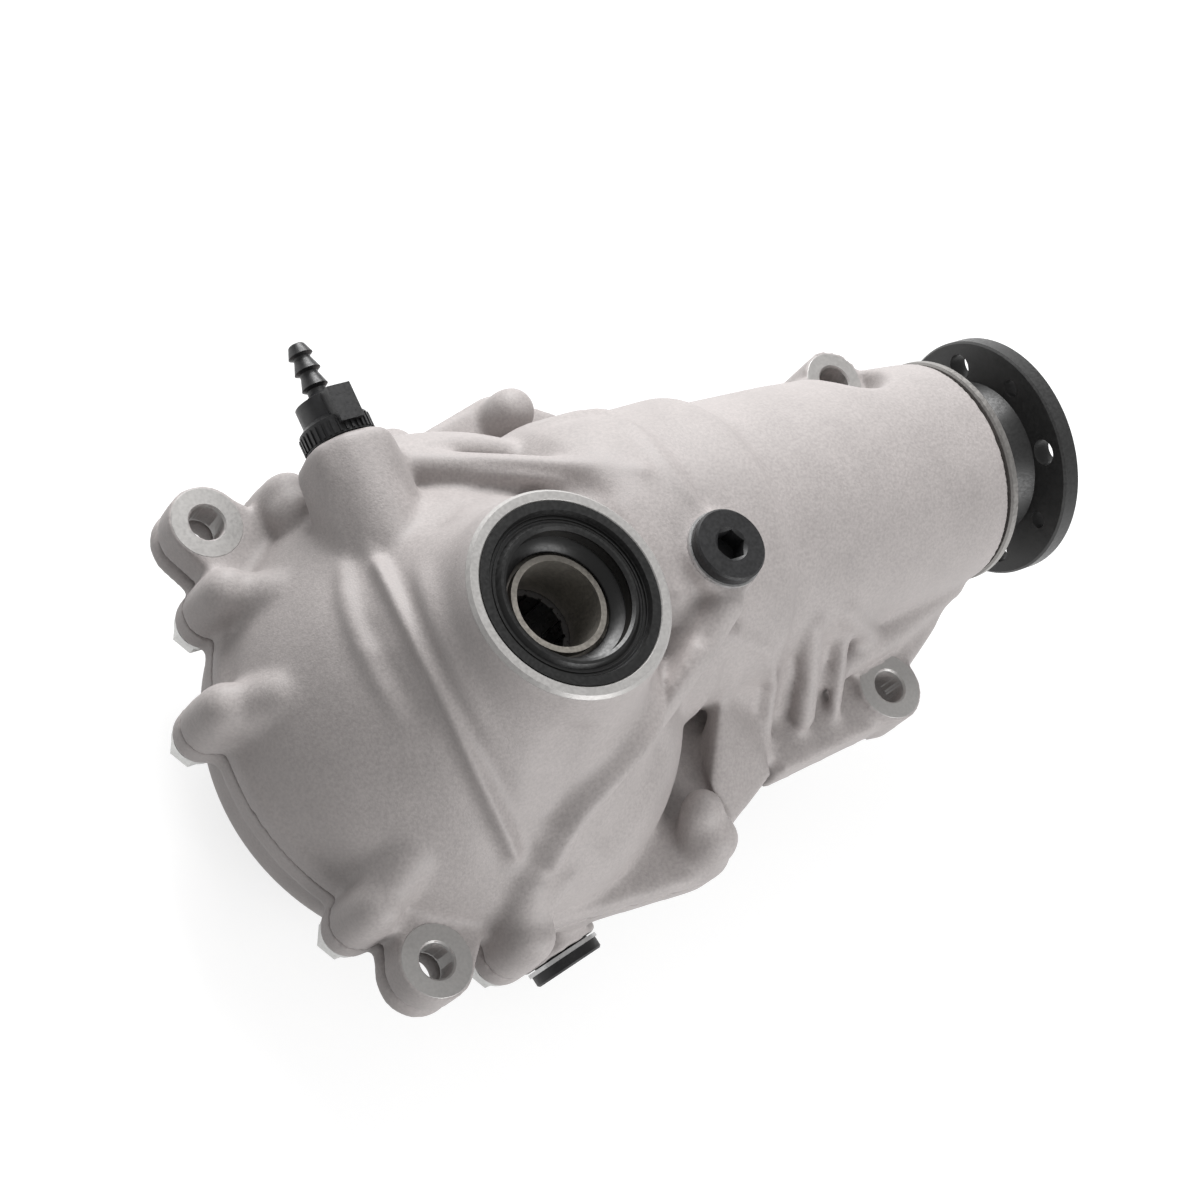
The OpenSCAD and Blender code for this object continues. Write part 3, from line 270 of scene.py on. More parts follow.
def read_vectors(mesh, field):
    """A field of the mesh's vertices, such as co or normal, as an array of rows of three."""
    values = np.empty(len(mesh.vertices) * 3, np.float32)
    mesh.vertices.foreach_get(field, values)
    return values.reshape(-1, 3).astype(float)


def relaxed(points, edges, passes, weight):
    """Each pass moves every point half of the way to the mean of its neighbours, times its
    own weight from 0 to 1."""
    a, b = edges.T
    count = np.bincount(edges.ravel(), minlength=len(points))[:, None]
    for _ in range(passes):
        total = np.stack(
            [
                np.bincount(a, points[b, k], len(points)) + np.bincount(b, points[a, k], len(points))
                for k in range(3)
            ],
            axis=1,
        )
        step = (total / np.maximum(count, 1) - points) * 0.5
        points = points + step * weight[:, None]
    return points


def ramp(value, start, end):
    """Smooth step from 0 at start to 1 at end."""
    t = np.clip((value - start) / (end - start), 0, 1)
    return t * t * (3 - 2 * t)


def near_cylinder(points, centre, axis, radius, low, high, fade=0.002):
    """0 inside a cylinder between two heights along its axis, and 1 beyond the fade width."""
    _, _, w = frame_along(axis)
    offset = points - np.array(centre, float)
    height = offset @ w
    across = np.linalg.norm(offset - height[:, None] * w, axis=1)
    outside = np.maximum.reduce([across - radius, low - height, height - high])
    return ramp(outside, 0.0, fade)


def limb(start, start_r, end, end_r):
    """A tapered bar with ball ends, lengths in millimetres: its profile is a quarter circle
    at the start, a straight flank, and a quarter circle at the end."""
    start = np.array(start, float) / 1000
    end = np.array(end, float) / 1000
    start_r, end_r = start_r / 1000, end_r / 1000
    length = np.linalg.norm(end - start)
    low = np.linspace(-np.pi / 2, 0, 7)
    profile = [(start_r * np.cos(a), start_r * np.sin(a)) for a in low]
    profile += [(end_r * np.cos(a), length + end_r * np.sin(a)) for a in -low[::-1]]
    return turned(profile, start, end - start, LIMB_SEGMENTS)


def bars(line, radii):
    """Limbs along a line of points, with a radius at each point."""
    return [limb(a, ra, b, rb) for a, b, ra, rb in zip(line, line[1:], radii, radii[1:])]


def rounded_line(line):
    """A polyline in metres whose corners are cut twice in quarters, from points in millimetres."""
    line = np.array(line, float) / 1000
    for _ in range(2):
        inner = np.stack([line[:-1] * 0.75 + line[1:] * 0.25, line[:-1] * 0.25 + line[1:] * 0.75], 1)
        line = np.concatenate([line[:1], inner.reshape(-1, 3), line[-1:]])
    return line


def line_distance(points, line):
    """Distance of each point to a polyline, and how far along the line, from 0 to 1, it is met."""
    steps = np.linalg.norm(np.diff(line, axis=0), axis=1)
    begun = np.concatenate([[0.0], np.cumsum(steps)])
    best, along = np.full(len(points), np.inf), np.zeros(len(points))
    for a, b, length, before in zip(line[:-1], line[1:], steps, begun):
        t = np.clip((points - a) @ (b - a) / length**2, 0, 1)
        distance = np.linalg.norm(points - a - t[:, None] * (b - a), axis=1)
        near = distance < best
        best[near] = distance[near]
        along[near] = (before + t[near] * length) / begun[-1]
    return best, along


def crest(points, line, height, width, valley, ends):
    """Height of a rib along a line: a bell curve of the given height and width, less a wider
    one of the valley's depth that is left out under the rib, both faded at the line's ends."""
    distance, along = line_distance(points, rounded_line(line))
    rib = np.exp(-((distance / (width / 1000)) ** 2))
    dip = np.exp(-((distance / (VALLEY_WIDTH * width / 1000)) ** 2)) * (1 - rib)
    fade = ramp(along, 0, ends[0]) * ramp(1 - along, 0, ends[1])
    return (rib * height - dip * valley) / 1000 * fade


def cast_skin(node, name, settings, free, added=(), relief=None):
    """A casting's skin: the CAD solid and the added forms in small cells, whose inner corners
    are filled like a foundry fillet and whose outer edges lose a little. free gives 0 where a
    face is machined, and relief gives each outer point's rise along its normal."""
    low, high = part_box(node)
    piece = merged_copy(node, name)
    if added:
        extra = outward(mesh_object(name + "_added", *joined(added)))
        extra.select_set(True)
        piece.select_set(True)
        bpy.context.view_layer.objects.active = piece
        bpy.ops.object.join()
        piece.select_set(False)
    apply_modifier(piece, "REMESH", mode="VOXEL", voxel_size=settings.voxel, adaptivity=0.0)
    mesh = piece.data
    start = read_vectors(mesh, "co")
    normals = read_vectors(mesh, "normal")
    edges = np.empty(len(mesh.edges) * 2, np.int64)
    mesh.edges.foreach_get("vertices", edges)
    edges = edges.reshape(-1, 2)
    weight = free(start)
    start = relaxed(start, edges, FIRST_PASSES, weight)
    if relief is not None:
        start = start + normals * (relief(start, normals) * weight)[:, None]
    moved = relaxed(start, edges, settings.fillet_passes, weight)
    depth = ((moved - start) * normals).sum(1)
    back = np.minimum(depth + settings.edge_loss, 0)
    moved = moved - normals * back[:, None]
    moved = relaxed(moved, edges, LAST_PASSES, weight)
    moved = np.clip(moved, np.array(low) + BOX_MARGIN, np.array(high) - BOX_MARGIN)
    mesh.vertices.foreach_set("co", moved.astype(np.float32).ravel())
    mesh.update()
    count = sum(len(p.vertices) - 2 for p in mesh.polygons)
    if count > settings.triangles:
        apply_modifier(piece, "DECIMATE", ratio=settings.triangles / count)
    piece.data.polygons.foreach_set("use_smooth", np.full(len(piece.data.polygons), True))
    return piece


# Finishes

# How much more the specks change a colour than the clouds do, how far roughness spreads
# about its value, and the scales of the finest grain
SPECK_TONE = 1.9
ROUGHNESS_SPREAD = 0.08
FINE_GRAIN = 2600.0
BLASTED_GRAIN = 1500.0


def new_group(name, inputs, outputs):
    """A shader node group with named float or colour sockets."""
    group = bpy.data.node_groups.new(name, "ShaderNodeTree")
    for label, kind, value in inputs:
        socket = group.interface.new_socket(name=label, in_out="INPUT", socket_type=kind)
        socket.default_value = value
    for label, kind in outputs:
        group.interface.new_socket(name=label, in_out="OUTPUT", socket_type=kind)
    return group, group.nodes.new("NodeGroupInput"), group.nodes.new("NodeGroupOutput")


def grain_group():
    """Grain on Object coordinates: fine bumps over slow clouds, and specks between the two in
    size. Height is the clouds and the bumps mixed by Fine Share."""
    group, inp, out = new_group(
        "Surface Grain",
        [
            ("Fine Scale", "NodeSocketFloat", FINE_GRAIN),
            ("Cloud Scale", "NodeSocketFloat", 60.0),
            ("Speck Scale", "NodeSocketFloat", 900.0),
            ("Fine Share", "NodeSocketFloat", 0.7),
        ],
        [("Height", "NodeSocketFloat"), ("Cloud", "NodeSocketFloat"), ("Speck", "NodeSocketFloat")],
    )
    n, link = group.nodes, group.links.new
    coord = n.new("ShaderNodeTexCoord")
    fine, cloud, speck = (n.new("ShaderNodeTexNoise") for _ in range(3))
    for noise, detail in ((fine, 3.0), (cloud, 4.0), (speck, 1.0)):
        noise.inputs["Detail"].default_value = detail
        link(coord.outputs["Object"], noise.inputs["Vector"])
    link(inp.outputs["Fine Scale"], fine.inputs["Scale"])
    link(inp.outputs["Cloud Scale"], cloud.inputs["Scale"])
    link(inp.outputs["Speck Scale"], speck.inputs["Scale"])
    mix = n.new("ShaderNodeMix")
    link(inp.outputs["Fine Share"], mix.inputs["Factor"])
    link(cloud.outputs["Fac"], mix.inputs["A"])
    link(fine.outputs["Fac"], mix.inputs["B"])
    link(mix.outputs["Result"], out.inputs["Height"])
    link(cloud.outputs["Fac"], out.inputs["Cloud"])
    link(speck.outputs["Fac"], out.inputs["Speck"])
    return group


def spread(tree, value, low, high):
    """A Map Range node that carries the middle of a noise, 0.3 to 0.7, to low and high."""
    node = tree.nodes.new("ShaderNodeMapRange")
    node.inputs["From Min"].default_value = 0.3
    node.inputs["From Max"].default_value = 0.7
    node.inputs["To Min"].default_value = low
    node.inputs["To Max"].default_value = high
    tree.links.new(value, node.inputs["Value"])
    return node.outputs["Result"]


def finish(name, colour, metallic, roughness, grain, bump, tone, fine):
    """A finish on the Principled shader. The clouds and, twice as strongly, the specks change
    its colour by tone. The specks change its roughness, and bump is the grain's height in
    metres."""
    material = bpy.data.materials.new(name)
    material.use_nodes = True
    tree = material.node_tree
    n, link = tree.nodes, tree.links.new
    shader = n["Principled BSDF"]
    shader.inputs["Metallic"].default_value = metallic
    group = n.new("ShaderNodeGroup")
    group.node_tree = grain
    group.inputs["Fine Scale"].default_value = fine
    cloud, speck = group.outputs["Cloud"], group.outputs["Speck"]
    both = n.new("ShaderNodeMath")
    both.operation = "MULTIPLY"
    link(spread(tree, cloud, 1.0 - tone, 1.0 + tone), both.inputs[0])
    link(spread(tree, speck, 1.0 - SPECK_TONE * tone, 1.0 + SPECK_TONE * tone), both.inputs[1])
    tint = n.new("ShaderNodeVectorMath")
    tint.operation = "SCALE"
    tint.inputs[0].default_value = colour
    link(both.outputs[0], tint.inputs["Scale"])
    link(tint.outputs["Vector"], shader.inputs["Base Color"])
    low = roughness - ROUGHNESS_SPREAD
    high = roughness + ROUGHNESS_SPREAD
    link(spread(tree, speck, low, high), shader.inputs["Roughness"])
    relief = n.new("ShaderNodeBump")
    relief.inputs["Strength"].default_value = 1.0
    relief.inputs["Distance"].default_value = bump
    link(group.outputs["Height"], relief.inputs["Height"])
    link(relief.outputs["Normal"], shader.inputs["Normal"])
    return material


FINISHES = {}


def make_finishes():
    """All finishes, built once and kept by name."""
    if FINISHES:
        return FINISHES
    cast = bpy.context.scene.diff_casting
    fit = bpy.context.scene.diff_fittings
    grain = grain_group()
    # Name, colour, metallic, roughness, height of the grain, tone, fine scale
    for name, colour, metallic, roughness, bump, tone, fine in (
        ("Blasted cast aluminium", cast.colour, 0.0, 0.58, 0.00016, 0.05, BLASTED_GRAIN),
        ("Machined aluminium", cast.machined_colour, 0.35, 0.42, 0.00001, 0.03, FINE_GRAIN),
        ("Black flange steel", fit.flange_black, 0.0, 0.42, 0.00002, 0.10, FINE_GRAIN),
        ("Phosphated steel", fit.plug_grey, 0.3, 0.50, 0.00002, 0.10, FINE_GRAIN),
        ("Seal rubber", fit.rubber_black, 0.0, 0.36, 0.00001, 0.05, FINE_GRAIN),
        ("Breather nylon", fit.plastic_black, 0.0, 0.40, 0.00002, 0.05, FINE_GRAIN),
        ("Ground steel", (0.42, 0.41, 0.39), 0.9, 0.30, 0.000004, 0.04, FINE_GRAIN),
        ("Gear steel", (0.20, 0.20, 0.21), 0.9, 0.35, 0.00001, 0.06, FINE_GRAIN),
        ("Zinc plated steel", (0.55, 0.55, 0.54), 0.8, 0.38, 0.00001, 0.05, FINE_GRAIN),
        ("Machined iron", (0.30, 0.28, 0.25), 0.6, 0.45, 0.00002, 0.08, FINE_GRAIN),
        ("Turned washer", (0.55, 0.55, 0.55), 0.7, 0.35, 0.00001, 0.03, FINE_GRAIN),
        ("Rolled bronze", (0.45, 0.30, 0.13), 0.8, 0.38, 0.00001, 0.05, FINE_GRAIN),
        ("Pressed steel", (0.28, 0.27, 0.26), 0.8, 0.42, 0.00001, 0.05, FINE_GRAIN),
    ):
        FINISHES[name] = finish(name, colour, metallic, roughness, grain, bump, tone, fine)
    return FINISHES


def wear(piece, name):
    """Gives a piece or a CAD node one of the finishes."""
    if len(piece.data.materials) == 0:
        piece.data.materials.append(None)
    for slot in piece.material_slots:
        slot.material = make_finishes()[name]


SLOT_FINISH = {
    "cast_housing": "Blasted cast aluminium",
    "cast_cover": "Blasted cast aluminium",
    "zinc_steel": "Zinc plated steel",
    "bright_steel": "Ground steel",
    "gear_steel": "Gear steel",
    "case_iron": "Machined iron",
    "phosphated_steel": "Phosphated steel",
    "black_steel": "Black flange steel",
    "rubber": "Seal rubber",
    "washer_aluminium": "Turned washer",
    "black_plastic": "Breather nylon",
    "bronze": "Rolled bronze",
    "cage_steel": "Pressed steel",
}


# Forms of the casting that stand on the CAD solid, in millimetres

# Ribs on the bell: line, height, width, depth of the valleys beside it, and the share of the
# line over which each end fades. A rib of negative height is a hollow.
RIBS = (
    ([(-38, 50, 113), (-38, 39, 118), (-43, 19, 128), (-45, 0, 132), (-43, -16, 130),
      (-39, -34, 122), (-33, -49, 112), (-24, -68, 96)], 4.2, 2.6, 2.2, (0.12, 0.04)),
    ([(-42, 49, 106), (-50, 34, 110), (-54, 20, 114), (-55, 4, 116),
      (-54, -9, 117), (-51, -24, 114)], 2.0, 3.0, 1.2, (0.1, 0.45)),
    ([(-30, 36, 129), (-38, 20, 137), (-41, 2, 140), (-40, -14, 137),
      (-36, -26, 132), (-29, -42, 121)], 1.8, 4.2, 1.2, (0.2, 0.3)),
    ([(58, -24, 130), (46, -33, 126), (33, -42, 121), (14, -51, 120), (-2, -59, 112),
      (-10, -66, 102), (-15, -73, 92)], 5.4, 5.2, 2.6, (0.02, 0.05)),
    ([(31, -10, 153), (48, -8, 140), (61, -6, 132)], 3.5, 3.5, 1.0, (0.3, 0.1)),
    ([(50, 73, 108), (62, 75, 110), (76, 73, 112), (74, 56, 129), (72, 37, 138), (74, 17, 140)],
     1.6, 2.2, 1.2, (0.1, 0.1)),
    # Hollows of the bell between the ribs
    ([(-6, -36, 141), (-14, -50, 127), (-17, -64, 108)], -3.2, 8.0, 0.0, (0.15, 0.15)),
    ([(50, -46, 108), (28, -62, 102), (8, -74, 92)], -2.6, 8.5, 0.0, (0.15, 0.15)),
    ([(-49, 26, 115), (-51, 2, 121), (-48, -22, 121)], -1.6, 3.4, 0.0, (0.2, 0.3)),
    ([(4, 60, 118), (20, 55, 122), (34, 48, 126), (50, 30, 142)], -3.0, 6.0, 0.0, (0.15, 0.25)),
    ([(-22, 40, 130), (-14, 46, 127), (0, 52, 124)], -1.5, 5.0, 0.0, (0.2, 0.2)),
)

# Bolt fingers that lean from the joint plane up the bell: foot, its radius, top, its radius
FINGERS = (
    ((-70.3, 57, 66), 9.8, (-56, 48, 83), 8.6),
    ((-88.5, 18.8, 66), 9.8, (-73, 14, 85), 9.0),
    ((-67.3, -60.6, 66), 9.8, (-54, -50, 85), 9.2),
    ((-18.8, -88.5, 66), 9.6, (-17.5, -73, 87), 8.2),
    ((-33.9, 83.9, 62), 9.6, (-36, 77, 78), 8.6),
    ((66, -80, 66), 10.5, (63, -70, 80), 8.0),
)

# Webs and bars of the casting: points along each, and the radius at each
WEBS = (
    # Bar from the trunk to the barrel, and the filling between it and the bell
    (((-4, 74, 104), (30, 56, 120), (62, 38, 134)), (6.0, 5.6, 5.6)),
    (((18, 60, 108), (32, 54, 112), (44, 46, 118)), (4.5, 5.2, 4.5)),
    # Webs between the tube and the foot
    (((80, -21, 118), (90, -34, 84), (84.5, -49, 65)), (4.0, 3.4, 3.4)),
    (((82.3, -21.8, 116), (101, -28.7, 105), (112, -37, 84), (118, -42, 65)), (3.0, 2.6, 2.4, 2.4)),
    (((125.3, -24.5, 103), (129.6, -37, 84), (128.2, -50, 70)), (4.6, 4.2, 4.6)),
    # Ridge from the nose of the tube to the foot
    (((221, -20, 70), (172, -31, 73), (146, -38, 72)), (6.0, 8.0, 5.0)),
    # Low rib from the trunk down the bell
    (((-40.5, 46.5, 104.5), (-48.3, 32.5, 108.5), (-51.5, 19.5, 113), (-52, 10, 116)),
     (3.6, 3.8, 4.2, 4.5)),
)

# Solid forms, by their corners
BLOCKS = (
    # Trunk under the breather, from its seat to where it runs out on the bell
    ((-40, 84.5, 95), (-40, 84.5, 116), (-31, 84.5, 121.5), (-14, 84.5, 121.5), (-8, 83, 113),
     (-8, 83, 96), (-43, 50, 92), (-42.5, 49, 107.5), (-29, 44, 121.5), (-9, 58, 113.5),
     (-4, 70, 105.5), (-5, 70, 90)),
    # Wall behind the webs of the foot
    ((88, -19, 106), (92, -24, 66), (96, -50, 60), (96, -47, 67), (150, -45, 60), (150, -41, 68),
     (150, -16, 98), (150, -20, 66)),
    # Tie of the foot to the bell's joint flange
    ((108, -65, 63), (108, -65, 65.5), (108, -40, 63), (108, -36, 74), (82, -77, 63), (82, -76, 69),
     (74, -62, 74), (84, -44, 63), (86, -36, 86)),
    # Web from the nose of the tube to the foot's ear
    ((226, -15, 64), (226, -18.5, 72), (209, -34, 60), (208, -34, 66), (186, -47, 58), (185, -46, 66),
     (165, -36, 60), (165, -34, 70), (190, -20, 62), (190, -22, 76)),
)


def block(corners):
    """Points and faces of the smallest body without hollows round some points in millimetres."""
    shape = bmesh.new()
    for point in np.array(corners, float) / 1000:
        shape.verts.new(point)
    hull = bmesh.ops.convex_hull(shape, input=shape.verts)
    bmesh.ops.delete(shape, geom=list(set(hull["geom_interior"])), context="VERTS")
    shape.verts.ensure_lookup_table()
    shape.verts.index_update()
    points = np.array([v.co[:] for v in shape.verts])
    faces = np.array([[v.index for v in f.verts] for f in shape.faces])
    shape.free()
    return points, faces


# Machined places of the castings: radius, depth or height of what the skin leaves as the CAD
# has it
HUB_BORE_R = 0.0362
HUB_BORE_Z = 0.10
HUB_FACE_R = 0.0385
NOSE_BORE_R = 0.0365
NOSE_BORE_DEPTH = 0.3
TURNED_DEPTH = 0.0012
HOLE_R = 0.0075
HOLE_BEYOND = 0.002
HOLE_FACE_R = 0.0135
HOLE_FACE_DEPTH = 0.0008
HOLE_FACE_RISE = 0.001
PLUG_SEAT_R = 0.0145
PLUG_SEAT_DEPTH = 0.002
COVER_HUB_R = 0.0405
COVER_HUB_TOP = 0.0105
COVER_FOOT = -0.01
PAST_END = 0.2

# Distances over which a skin goes from machined to cast: round holes, at the nose, and from
# the joint plane
SHARP_FADE = 0.0015
NOSE_FADE = 0.002
JOINT_FADE = (0.0004, 0.003)

# Line inside the bell and the tube that outer faces look away from
TUBE_START_X = 0.055
TUBE_END_X = 0.23
INSIDE_Z = 0.0795

# Ribs and hollows grow in with how far a face looks away from that line, and with the height
# above the joint plane. No hollow is deeper than the last value.
LOOKS_AWAY = (0.05, 0.35)
ABOVE_JOINT = (0.010, 0.016)
DEEPEST_HOLLOW = 0.0027

# Radii of the machined rings round the bolted holes
LUG_RING_R = 0.0131
EYE_RING_R = 0.0121


# Operators


class DIFF_OT_finishes(bpy.types.Operator):
    """Give every CAD node the finish of its material slot"""

    bl_idname = "diff.finishes"
    bl_label = "Finish the Carried Pieces"

    def execute(self, context):
        for row in frame["record"]["subparts"]:
            wear(NODES[row["node"]], SLOT_FINISH[row["material_slot"]])
        # The ring behind the flange is darker than the bolts that share its slot
        wear(NODES["dust_shield"], "Pressed steel")
        return {"FINISHED"}


def housing_free(points):
    """0 on the housing's machined places, and 1 where its skin is cast."""
    held = [
        near_cylinder(points, AXLE_FOOT, ALONG_AXLE, HUB_BORE_R, HUB_BORE_Z, PAST_END),
        near_cylinder(
            points, AXLE_FOOT, ALONG_AXLE, HUB_FACE_R, AXLE_TOP - TURNED_DEPTH, PAST_END),
        near_cylinder(points, PINION_LINE, ALONG_PINION, NOSE_BORE_R, -NOSE_BORE_DEPTH, 0.0),
        ramp(NOSE_END - TURNED_DEPTH - points[:, 0], 0, NOSE_FADE),
        ramp(points[:, 2] - JOINT_PLANE, *JOINT_FADE),
    ]
    for name in BOLTED_HOLES:
        hole = MOUNTS[name]
        half = hole["dims"]["length_mm"] / 2000
        place, axis = hole["pos_m"], hole["axis"]
        held.append(near_cylinder(
            points, place, axis, HOLE_R, -half, half + HOLE_BEYOND, SHARP_FADE))
        held.append(near_cylinder(
            points, place, axis, HOLE_FACE_R, half - HOLE_FACE_DEPTH, half + HOLE_FACE_RISE,
            SHARP_FADE))
    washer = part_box("filler_plug_washer")
    seat = (washer[0] + washer[1]) / 2
    held.append(near_cylinder(
        points, seat, ALONG_AXLE, PLUG_SEAT_R, -PLUG_SEAT_DEPTH, PLUG_SEAT_DEPTH, SHARP_FADE))
    return np.minimum.reduce(held)


def cover_free(points):
    """0 on the cover's machined places, and 1 where its skin is cast."""
    return np.minimum.reduce([
        near_cylinder(points, AXLE_FOOT, ALONG_AXLE, COVER_HUB_R, COVER_FOOT, COVER_HUB_TOP),
        near_cylinder(points, AXLE_FOOT, ALONG_AXLE, HUB_BORE_R, COVER_FOOT, PAST_END),
        ramp(JOINT_PLANE - points[:, 2], *JOINT_FADE),
    ])


def housing_relief(points, normals):
    """Rise of the housing's skin: the sum of its ribs and hollows, on faces that look away
    from a line inside the bell and the tube, and above the joint's flange."""
    inside = np.stack([
        np.clip(points[:, 0], 0, TUBE_END_X),
        PINION_Y * np.clip(points[:, 0] / TUBE_START_X, 0, 1),
        np.full(len(points), INSIDE_Z),
    ], 1)
    away = points - inside
    facing = (away * normals).sum(1) / np.maximum(np.linalg.norm(away, axis=1), 1e-9)
    rise = np.maximum(sum(crest(points, *rib) for rib in RIBS), -DEEPEST_HOLLOW)
    begins, whole = ABOVE_JOINT
    above_flange = ramp(points[:, 2], JOINT_PLANE + begins, JOINT_PLANE + whole)
    return rise * ramp(facing, *LOOKS_AWAY) * above_flange


class DIFF_OT_housing(bpy.types.Operator):
    """Cast the main housing's skin over its CAD solid"""

    bl_idname = "diff.housing"
    bl_label = "Cast Housing"

    def execute(self, context):
        added = [limb(*finger) for finger in FINGERS] + [block(corners) for corners in BLOCKS]
        for line, radii in WEBS:
            added += bars(line, radii)
        skin = cast_skin(
            "main_housing", "housing_casting", context.scene.diff_casting, housing_free,
            added, housing_relief)
        wear(skin, "Blasted cast aluminium")
        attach(skin, "housing")
        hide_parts("main_housing")
        return {"FINISHED"}


class DIFF_OT_cover(bpy.types.Operator):
    """Cast the side cover's skin over its CAD solid"""

    bl_idname = "diff.cover"
    bl_label = "Cast Cover"

    def execute(self, context):
        skin = cast_skin("side_cover", "cover_casting", context.scene.diff_casting, cover_free)
        wear(skin, "Blasted cast aluminium")
        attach(skin, "housing")
        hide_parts("side_cover")
        return {"FINISHED"}


def hub_ring():
    """Machined ring of the output hub: outer chamfer, flat face and the wall of the seal's
    bore, as points (radius, height) from the hub's face, turned about the axle line."""
    profile = np.array([
        (0.0369, -0.0022), (0.0370, -0.0012), (0.0359, 0.0), (0.0331, 0.0),
        (0.03246, -0.0007), (0.03246, -0.006), (0.0340, -0.006)])
    profile[:, 1] += AXLE_TOP
    return turned(profile, AXLE_FOOT, ALONG_AXLE, HUB_SEGMENTS)


def hole_ring(hole, outer):
    """Machined ring round a bolted hole: a short outer wall, the face with its chamfer, and
    the first 12 mm of the bore. It stands a tenth of a millimetre proud of the casting."""
    half = hole["dims"]["length_mm"] / 2000
    bore = hole["dims"]["r_mm"] / 1000
    profile = [
        (outer, half - 0.0015), (outer, half - 0.0001), (outer - 0.0003, half + 0.00012),
        (bore + 0.0006, half + 0.00012), (bore - 0.00008, half - 0.0006),
        (bore - 0.00008, half - 0.012), (bore + 0.0012, half - 0.012)]
    return turned(profile, hole["pos_m"], hole["axis"], HOLE_SEGMENTS)


class DIFF_OT_machined_faces(bpy.types.Operator):
    """Add the turned and milled faces of the hub, ears, foot and eye"""

    bl_idname = "diff.machined_faces"
    bl_label = "Machined Faces"

    def execute(self, context):
        parts = [hub_ring()]
        for name in BOLTED_HOLES:
            outer = EYE_RING_R if name == "tube_eye_hole" else LUG_RING_R
            parts.append(hole_ring(MOUNTS[name], outer))
        piece = outward(mesh_object("machined_faces", *joined(parts)))
        crease_by_angle(piece, 25)
        wear(piece, "Machined aluminium")
        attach(piece, "housing")
        return {"FINISHED"}


# Output seal, as points (radius, height) from its outer face: the inner lip, and the radius
# and top of each small rib on the face. The ribs are trapeziums.
SEAL_LIP = (
    (0.0243, -0.0070), (0.0222, -0.0078), (0.0190, -0.0098), (0.0186, -0.0106),
    (0.0190, -0.0109), (0.0226, -0.0089), (0.0246, -0.0082),
)
SEAL_RIBS = ((0.0271, -0.0020), (0.0283, -0.0017))
RIB_FOOT = 0.0004
RIB_TOP = 0.0002
RIB_HEIGHT = 0.0008


class DIFF_OT_seal_lips(bpy.types.Operator):
    """Add the inner lip and the ribs of the output seals"""

    bl_idname = "diff.seal_lips"
    bl_label = "Seal Lips"

    def execute(self, context):
        for name, top, side in (("right", AXLE_TOP, 1), ("left", 0.0, -1)):
            profiles = [SEAL_LIP]
            for radius, height in SEAL_RIBS:
                profiles.append((
                    (radius - RIB_FOOT, height - RIB_HEIGHT), (radius - RIB_TOP, height),
                    (radius + RIB_TOP, height), (radius + RIB_FOOT, height - RIB_HEIGHT)))
            place, axis = (0, 0, top), (0, 0, side)
            parts = [turned(profile, place, axis, SEAL_SEGMENTS) for profile in profiles]
            lip = outward(mesh_object(name + "_seal_lip", *joined(parts)))
            crease_by_angle(lip, 40)
            wear(lip, "Seal rubber")
            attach(lip, "housing")
        return {"FINISHED"}


# Floor: half of its side, its gap under the part, the share of its colour that scatters
# light, and how bright it looks to the camera and in reflections
FLOOR_HALF = 6.0
FLOOR_GAP = 0.0002
FLOOR_SCATTER = 0.45
FLOOR_GLOW = 0.72

# Lamps look at a point near the middle of the part, and stand this far from it
LAMP_TARGET = (0.09, 0.01, 0.08)
KEY_OFFSET = (0.22, 0.98, 0.66)
FILL_OFFSET = (0.15, -1.05, 0.40)
LAMP_WIDTH = 0.8

# Camera of the photograph: its place, the direction of the picture's right side, and ahead
CAMERA_PLACE = (-0.50963, -0.19148, 0.9138)
CAMERA_RIGHT = (0.793, -0.421, 0.440)
CAMERA_AHEAD = (0.554, 0.199, -0.808)


def floor_material(colour):
    """Pale floor that scatters light and takes the part's shadow. To the camera and in
    reflections it also glows, so that it meets the white background."""
    material = bpy.data.materials.new("Studio floor")
    material.use_nodes = True
    n, link = material.node_tree.nodes, material.node_tree.links.new
    n.clear()
    out = n.new("ShaderNodeOutputMaterial")
    path = n.new("ShaderNodeLightPath")
    diffuse = n.new("ShaderNodeBsdfDiffuse")
    diffuse.inputs["Color"].default_value = (*[c * FLOOR_SCATTER for c in colour], 1)
    glow = n.new("ShaderNodeEmission")
    glow.inputs["Color"].default_value = (1, 1, 1, 1)
    seen = n.new("ShaderNodeMath")
    seen.operation = "MAXIMUM"
    link(path.outputs["Is Camera Ray"], seen.inputs[0])
    link(path.outputs["Is Glossy Ray"], seen.inputs[1])
    strength = n.new("ShaderNodeMath")
    strength.operation = "MULTIPLY"
    strength.inputs[1].default_value = FLOOR_GLOW
    link(seen.outputs[0], strength.inputs[0])
    link(strength.outputs[0], glow.inputs["Strength"])
    add = n.new("ShaderNodeAddShader")
    link(diffuse.outputs[0], add.inputs[0])
    link(glow.outputs[0], add.inputs[1])
    link(add.outputs[0], out.inputs["Surface"])
    return material


def studio_world(sky):
    """Even light from all round at the strength sky, and plain white to the camera."""
    world = bpy.data.worlds.new("Studio")
    world.use_nodes = True
    n, link = world.node_tree.nodes, world.node_tree.links.new
    back = n["Background"]
    path = n.new("ShaderNodeLightPath")
    level = n.new("ShaderNodeMapRange")
    level.inputs["To Min"].default_value = sky
    level.inputs["To Max"].default_value = 1.0
    link(path.outputs["Is Camera Ray"], level.inputs["Value"])
    link(level.outputs["Result"], back.inputs["Strength"])
    back.inputs["Color"].default_value = (1, 1, 1, 1)
    return world


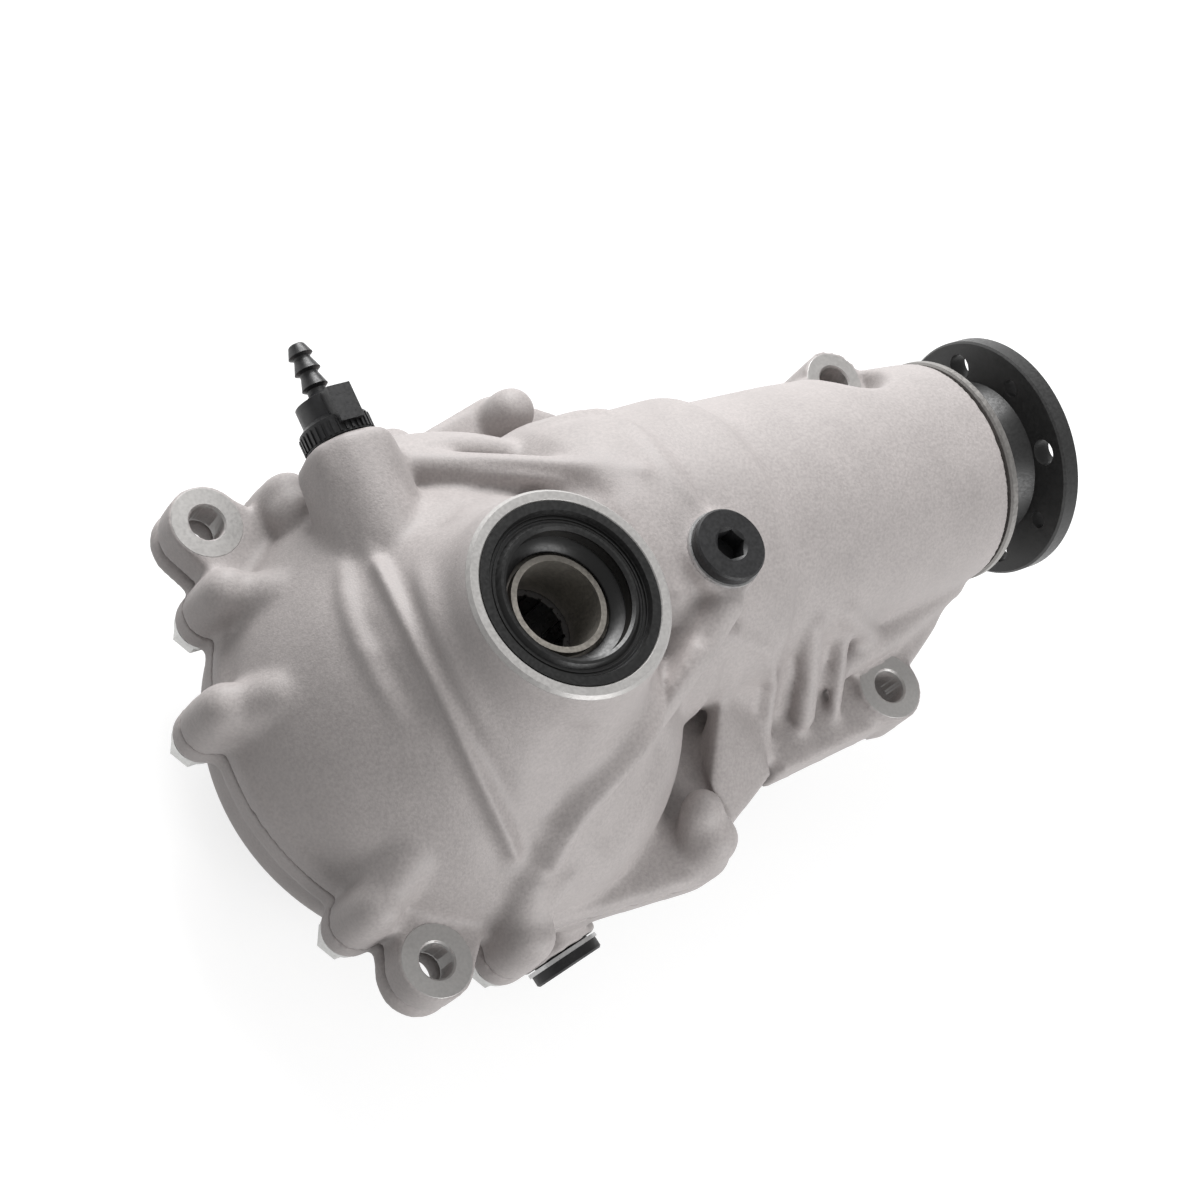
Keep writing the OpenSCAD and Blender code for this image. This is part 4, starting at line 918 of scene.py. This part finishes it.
def area_lamp(scene, name, offset, power):
    """A square lamp that looks at the part."""
    light = bpy.data.lights.new(name, "AREA")
    light.energy = power
    light.size = LAMP_WIDTH
    lamp = bpy.data.objects.new(name, light)
    target = Vector(LAMP_TARGET)
    lamp.location = target + Vector(offset)
    lamp.rotation_euler = (target - lamp.location).to_track_quat("-Z", "Y").to_euler()
    scene.collection.objects.link(lamp)


def photo_camera(scene, focal_length):
    """The camera at the photograph's viewing angle."""
    ahead = Vector(CAMERA_AHEAD).normalized()
    up = Vector(CAMERA_RIGHT).cross(ahead).normalized()
    right = ahead.cross(up).normalized()
    data = bpy.data.cameras.new("camera")
    data.lens = focal_length
    data.sensor_width = 36.0
    data.clip_end = 20.0
    camera = bpy.data.objects.new("camera", data)
    turn = Matrix((right, up, -ahead)).transposed().to_4x4()
    camera.matrix_world = Matrix.Translation(CAMERA_PLACE) @ turn
    scene.collection.objects.link(camera)
    scene.camera = camera


class DIFF_OT_stage(bpy.types.Operator):
    """Set the floor, the soft lights and the camera"""

    bl_idname = "diff.stage"
    bl_label = "Stage"

    def execute(self, context):
        scene, stage = context.scene, context.scene.diff_stage
        scene.view_settings.view_transform = "Standard"
        corners = FLOOR_HALF * np.array([[-1, -1, 0], [1, -1, 0], [1, 1, 0], [-1, 1, 0]], float)
        corners[:, 2] = CAD_BOX[0].z - FLOOR_GAP
        floor = mesh_object("floor", corners, np.array([[0, 1, 2, 3]]), False)
        floor.data.materials.append(floor_material(stage.floor_colour))
        scene.world = studio_world(stage.sky)
        area_lamp(scene, "key", KEY_OFFSET, stage.key_power)
        area_lamp(scene, "fill", FILL_OFFSET, stage.fill_power)
        photo_camera(scene, stage.focal_length)
        return {"FINISHED"}


class DIFF_PT_panel(bpy.types.Panel):
    """Operators and settings of the differential"""

    bl_label = "Differential"
    bl_idname = "DIFF_PT_panel"
    bl_space_type = "VIEW_3D"
    bl_region_type = "UI"
    bl_category = "Differential"

    def draw(self, context):
        for operator in OPERATORS:
            self.layout.operator(operator.bl_idname)
        for group in ("diff_casting", "diff_fittings", "diff_stage"):
            settings = getattr(context.scene, group)
            for name in settings.bl_rna.properties.keys():
                if name not in ("rna_type", "name"):
                    self.layout.prop(settings, name)


OPERATORS = (
    DIFF_OT_finishes, DIFF_OT_housing, DIFF_OT_cover, DIFF_OT_machined_faces,
    DIFF_OT_seal_lips, DIFF_OT_stage,
)
GROUPS = (CastingSettings, FittingSettings, StageSettings)


def register():
    """Registers the classes and puts their settings on the scene."""
    for cls in (*GROUPS, *OPERATORS, DIFF_PT_panel):
        bpy.utils.register_class(cls)
    bpy.types.Scene.diff_casting = PointerProperty(type=CastingSettings)
    bpy.types.Scene.diff_fittings = PointerProperty(type=FittingSettings)
    bpy.types.Scene.diff_stage = PointerProperty(type=StageSettings)


def unregister():
    """Takes the settings off the scene and unregisters the classes."""
    for name in ("diff_casting", "diff_fittings", "diff_stage"):
        delattr(bpy.types.Scene, name)
    for cls in reversed((*GROUPS, *OPERATORS, DIFF_PT_panel)):
        bpy.utils.unregister_class(cls)


def main():
    register()
    bpy.ops.diff.finishes()
    bpy.ops.diff.housing()
    bpy.ops.diff.cover()
    bpy.ops.diff.machined_faces()
    bpy.ops.diff.seal_lips()
    bpy.ops.diff.stage()


if __name__ == "__main__":
    main()
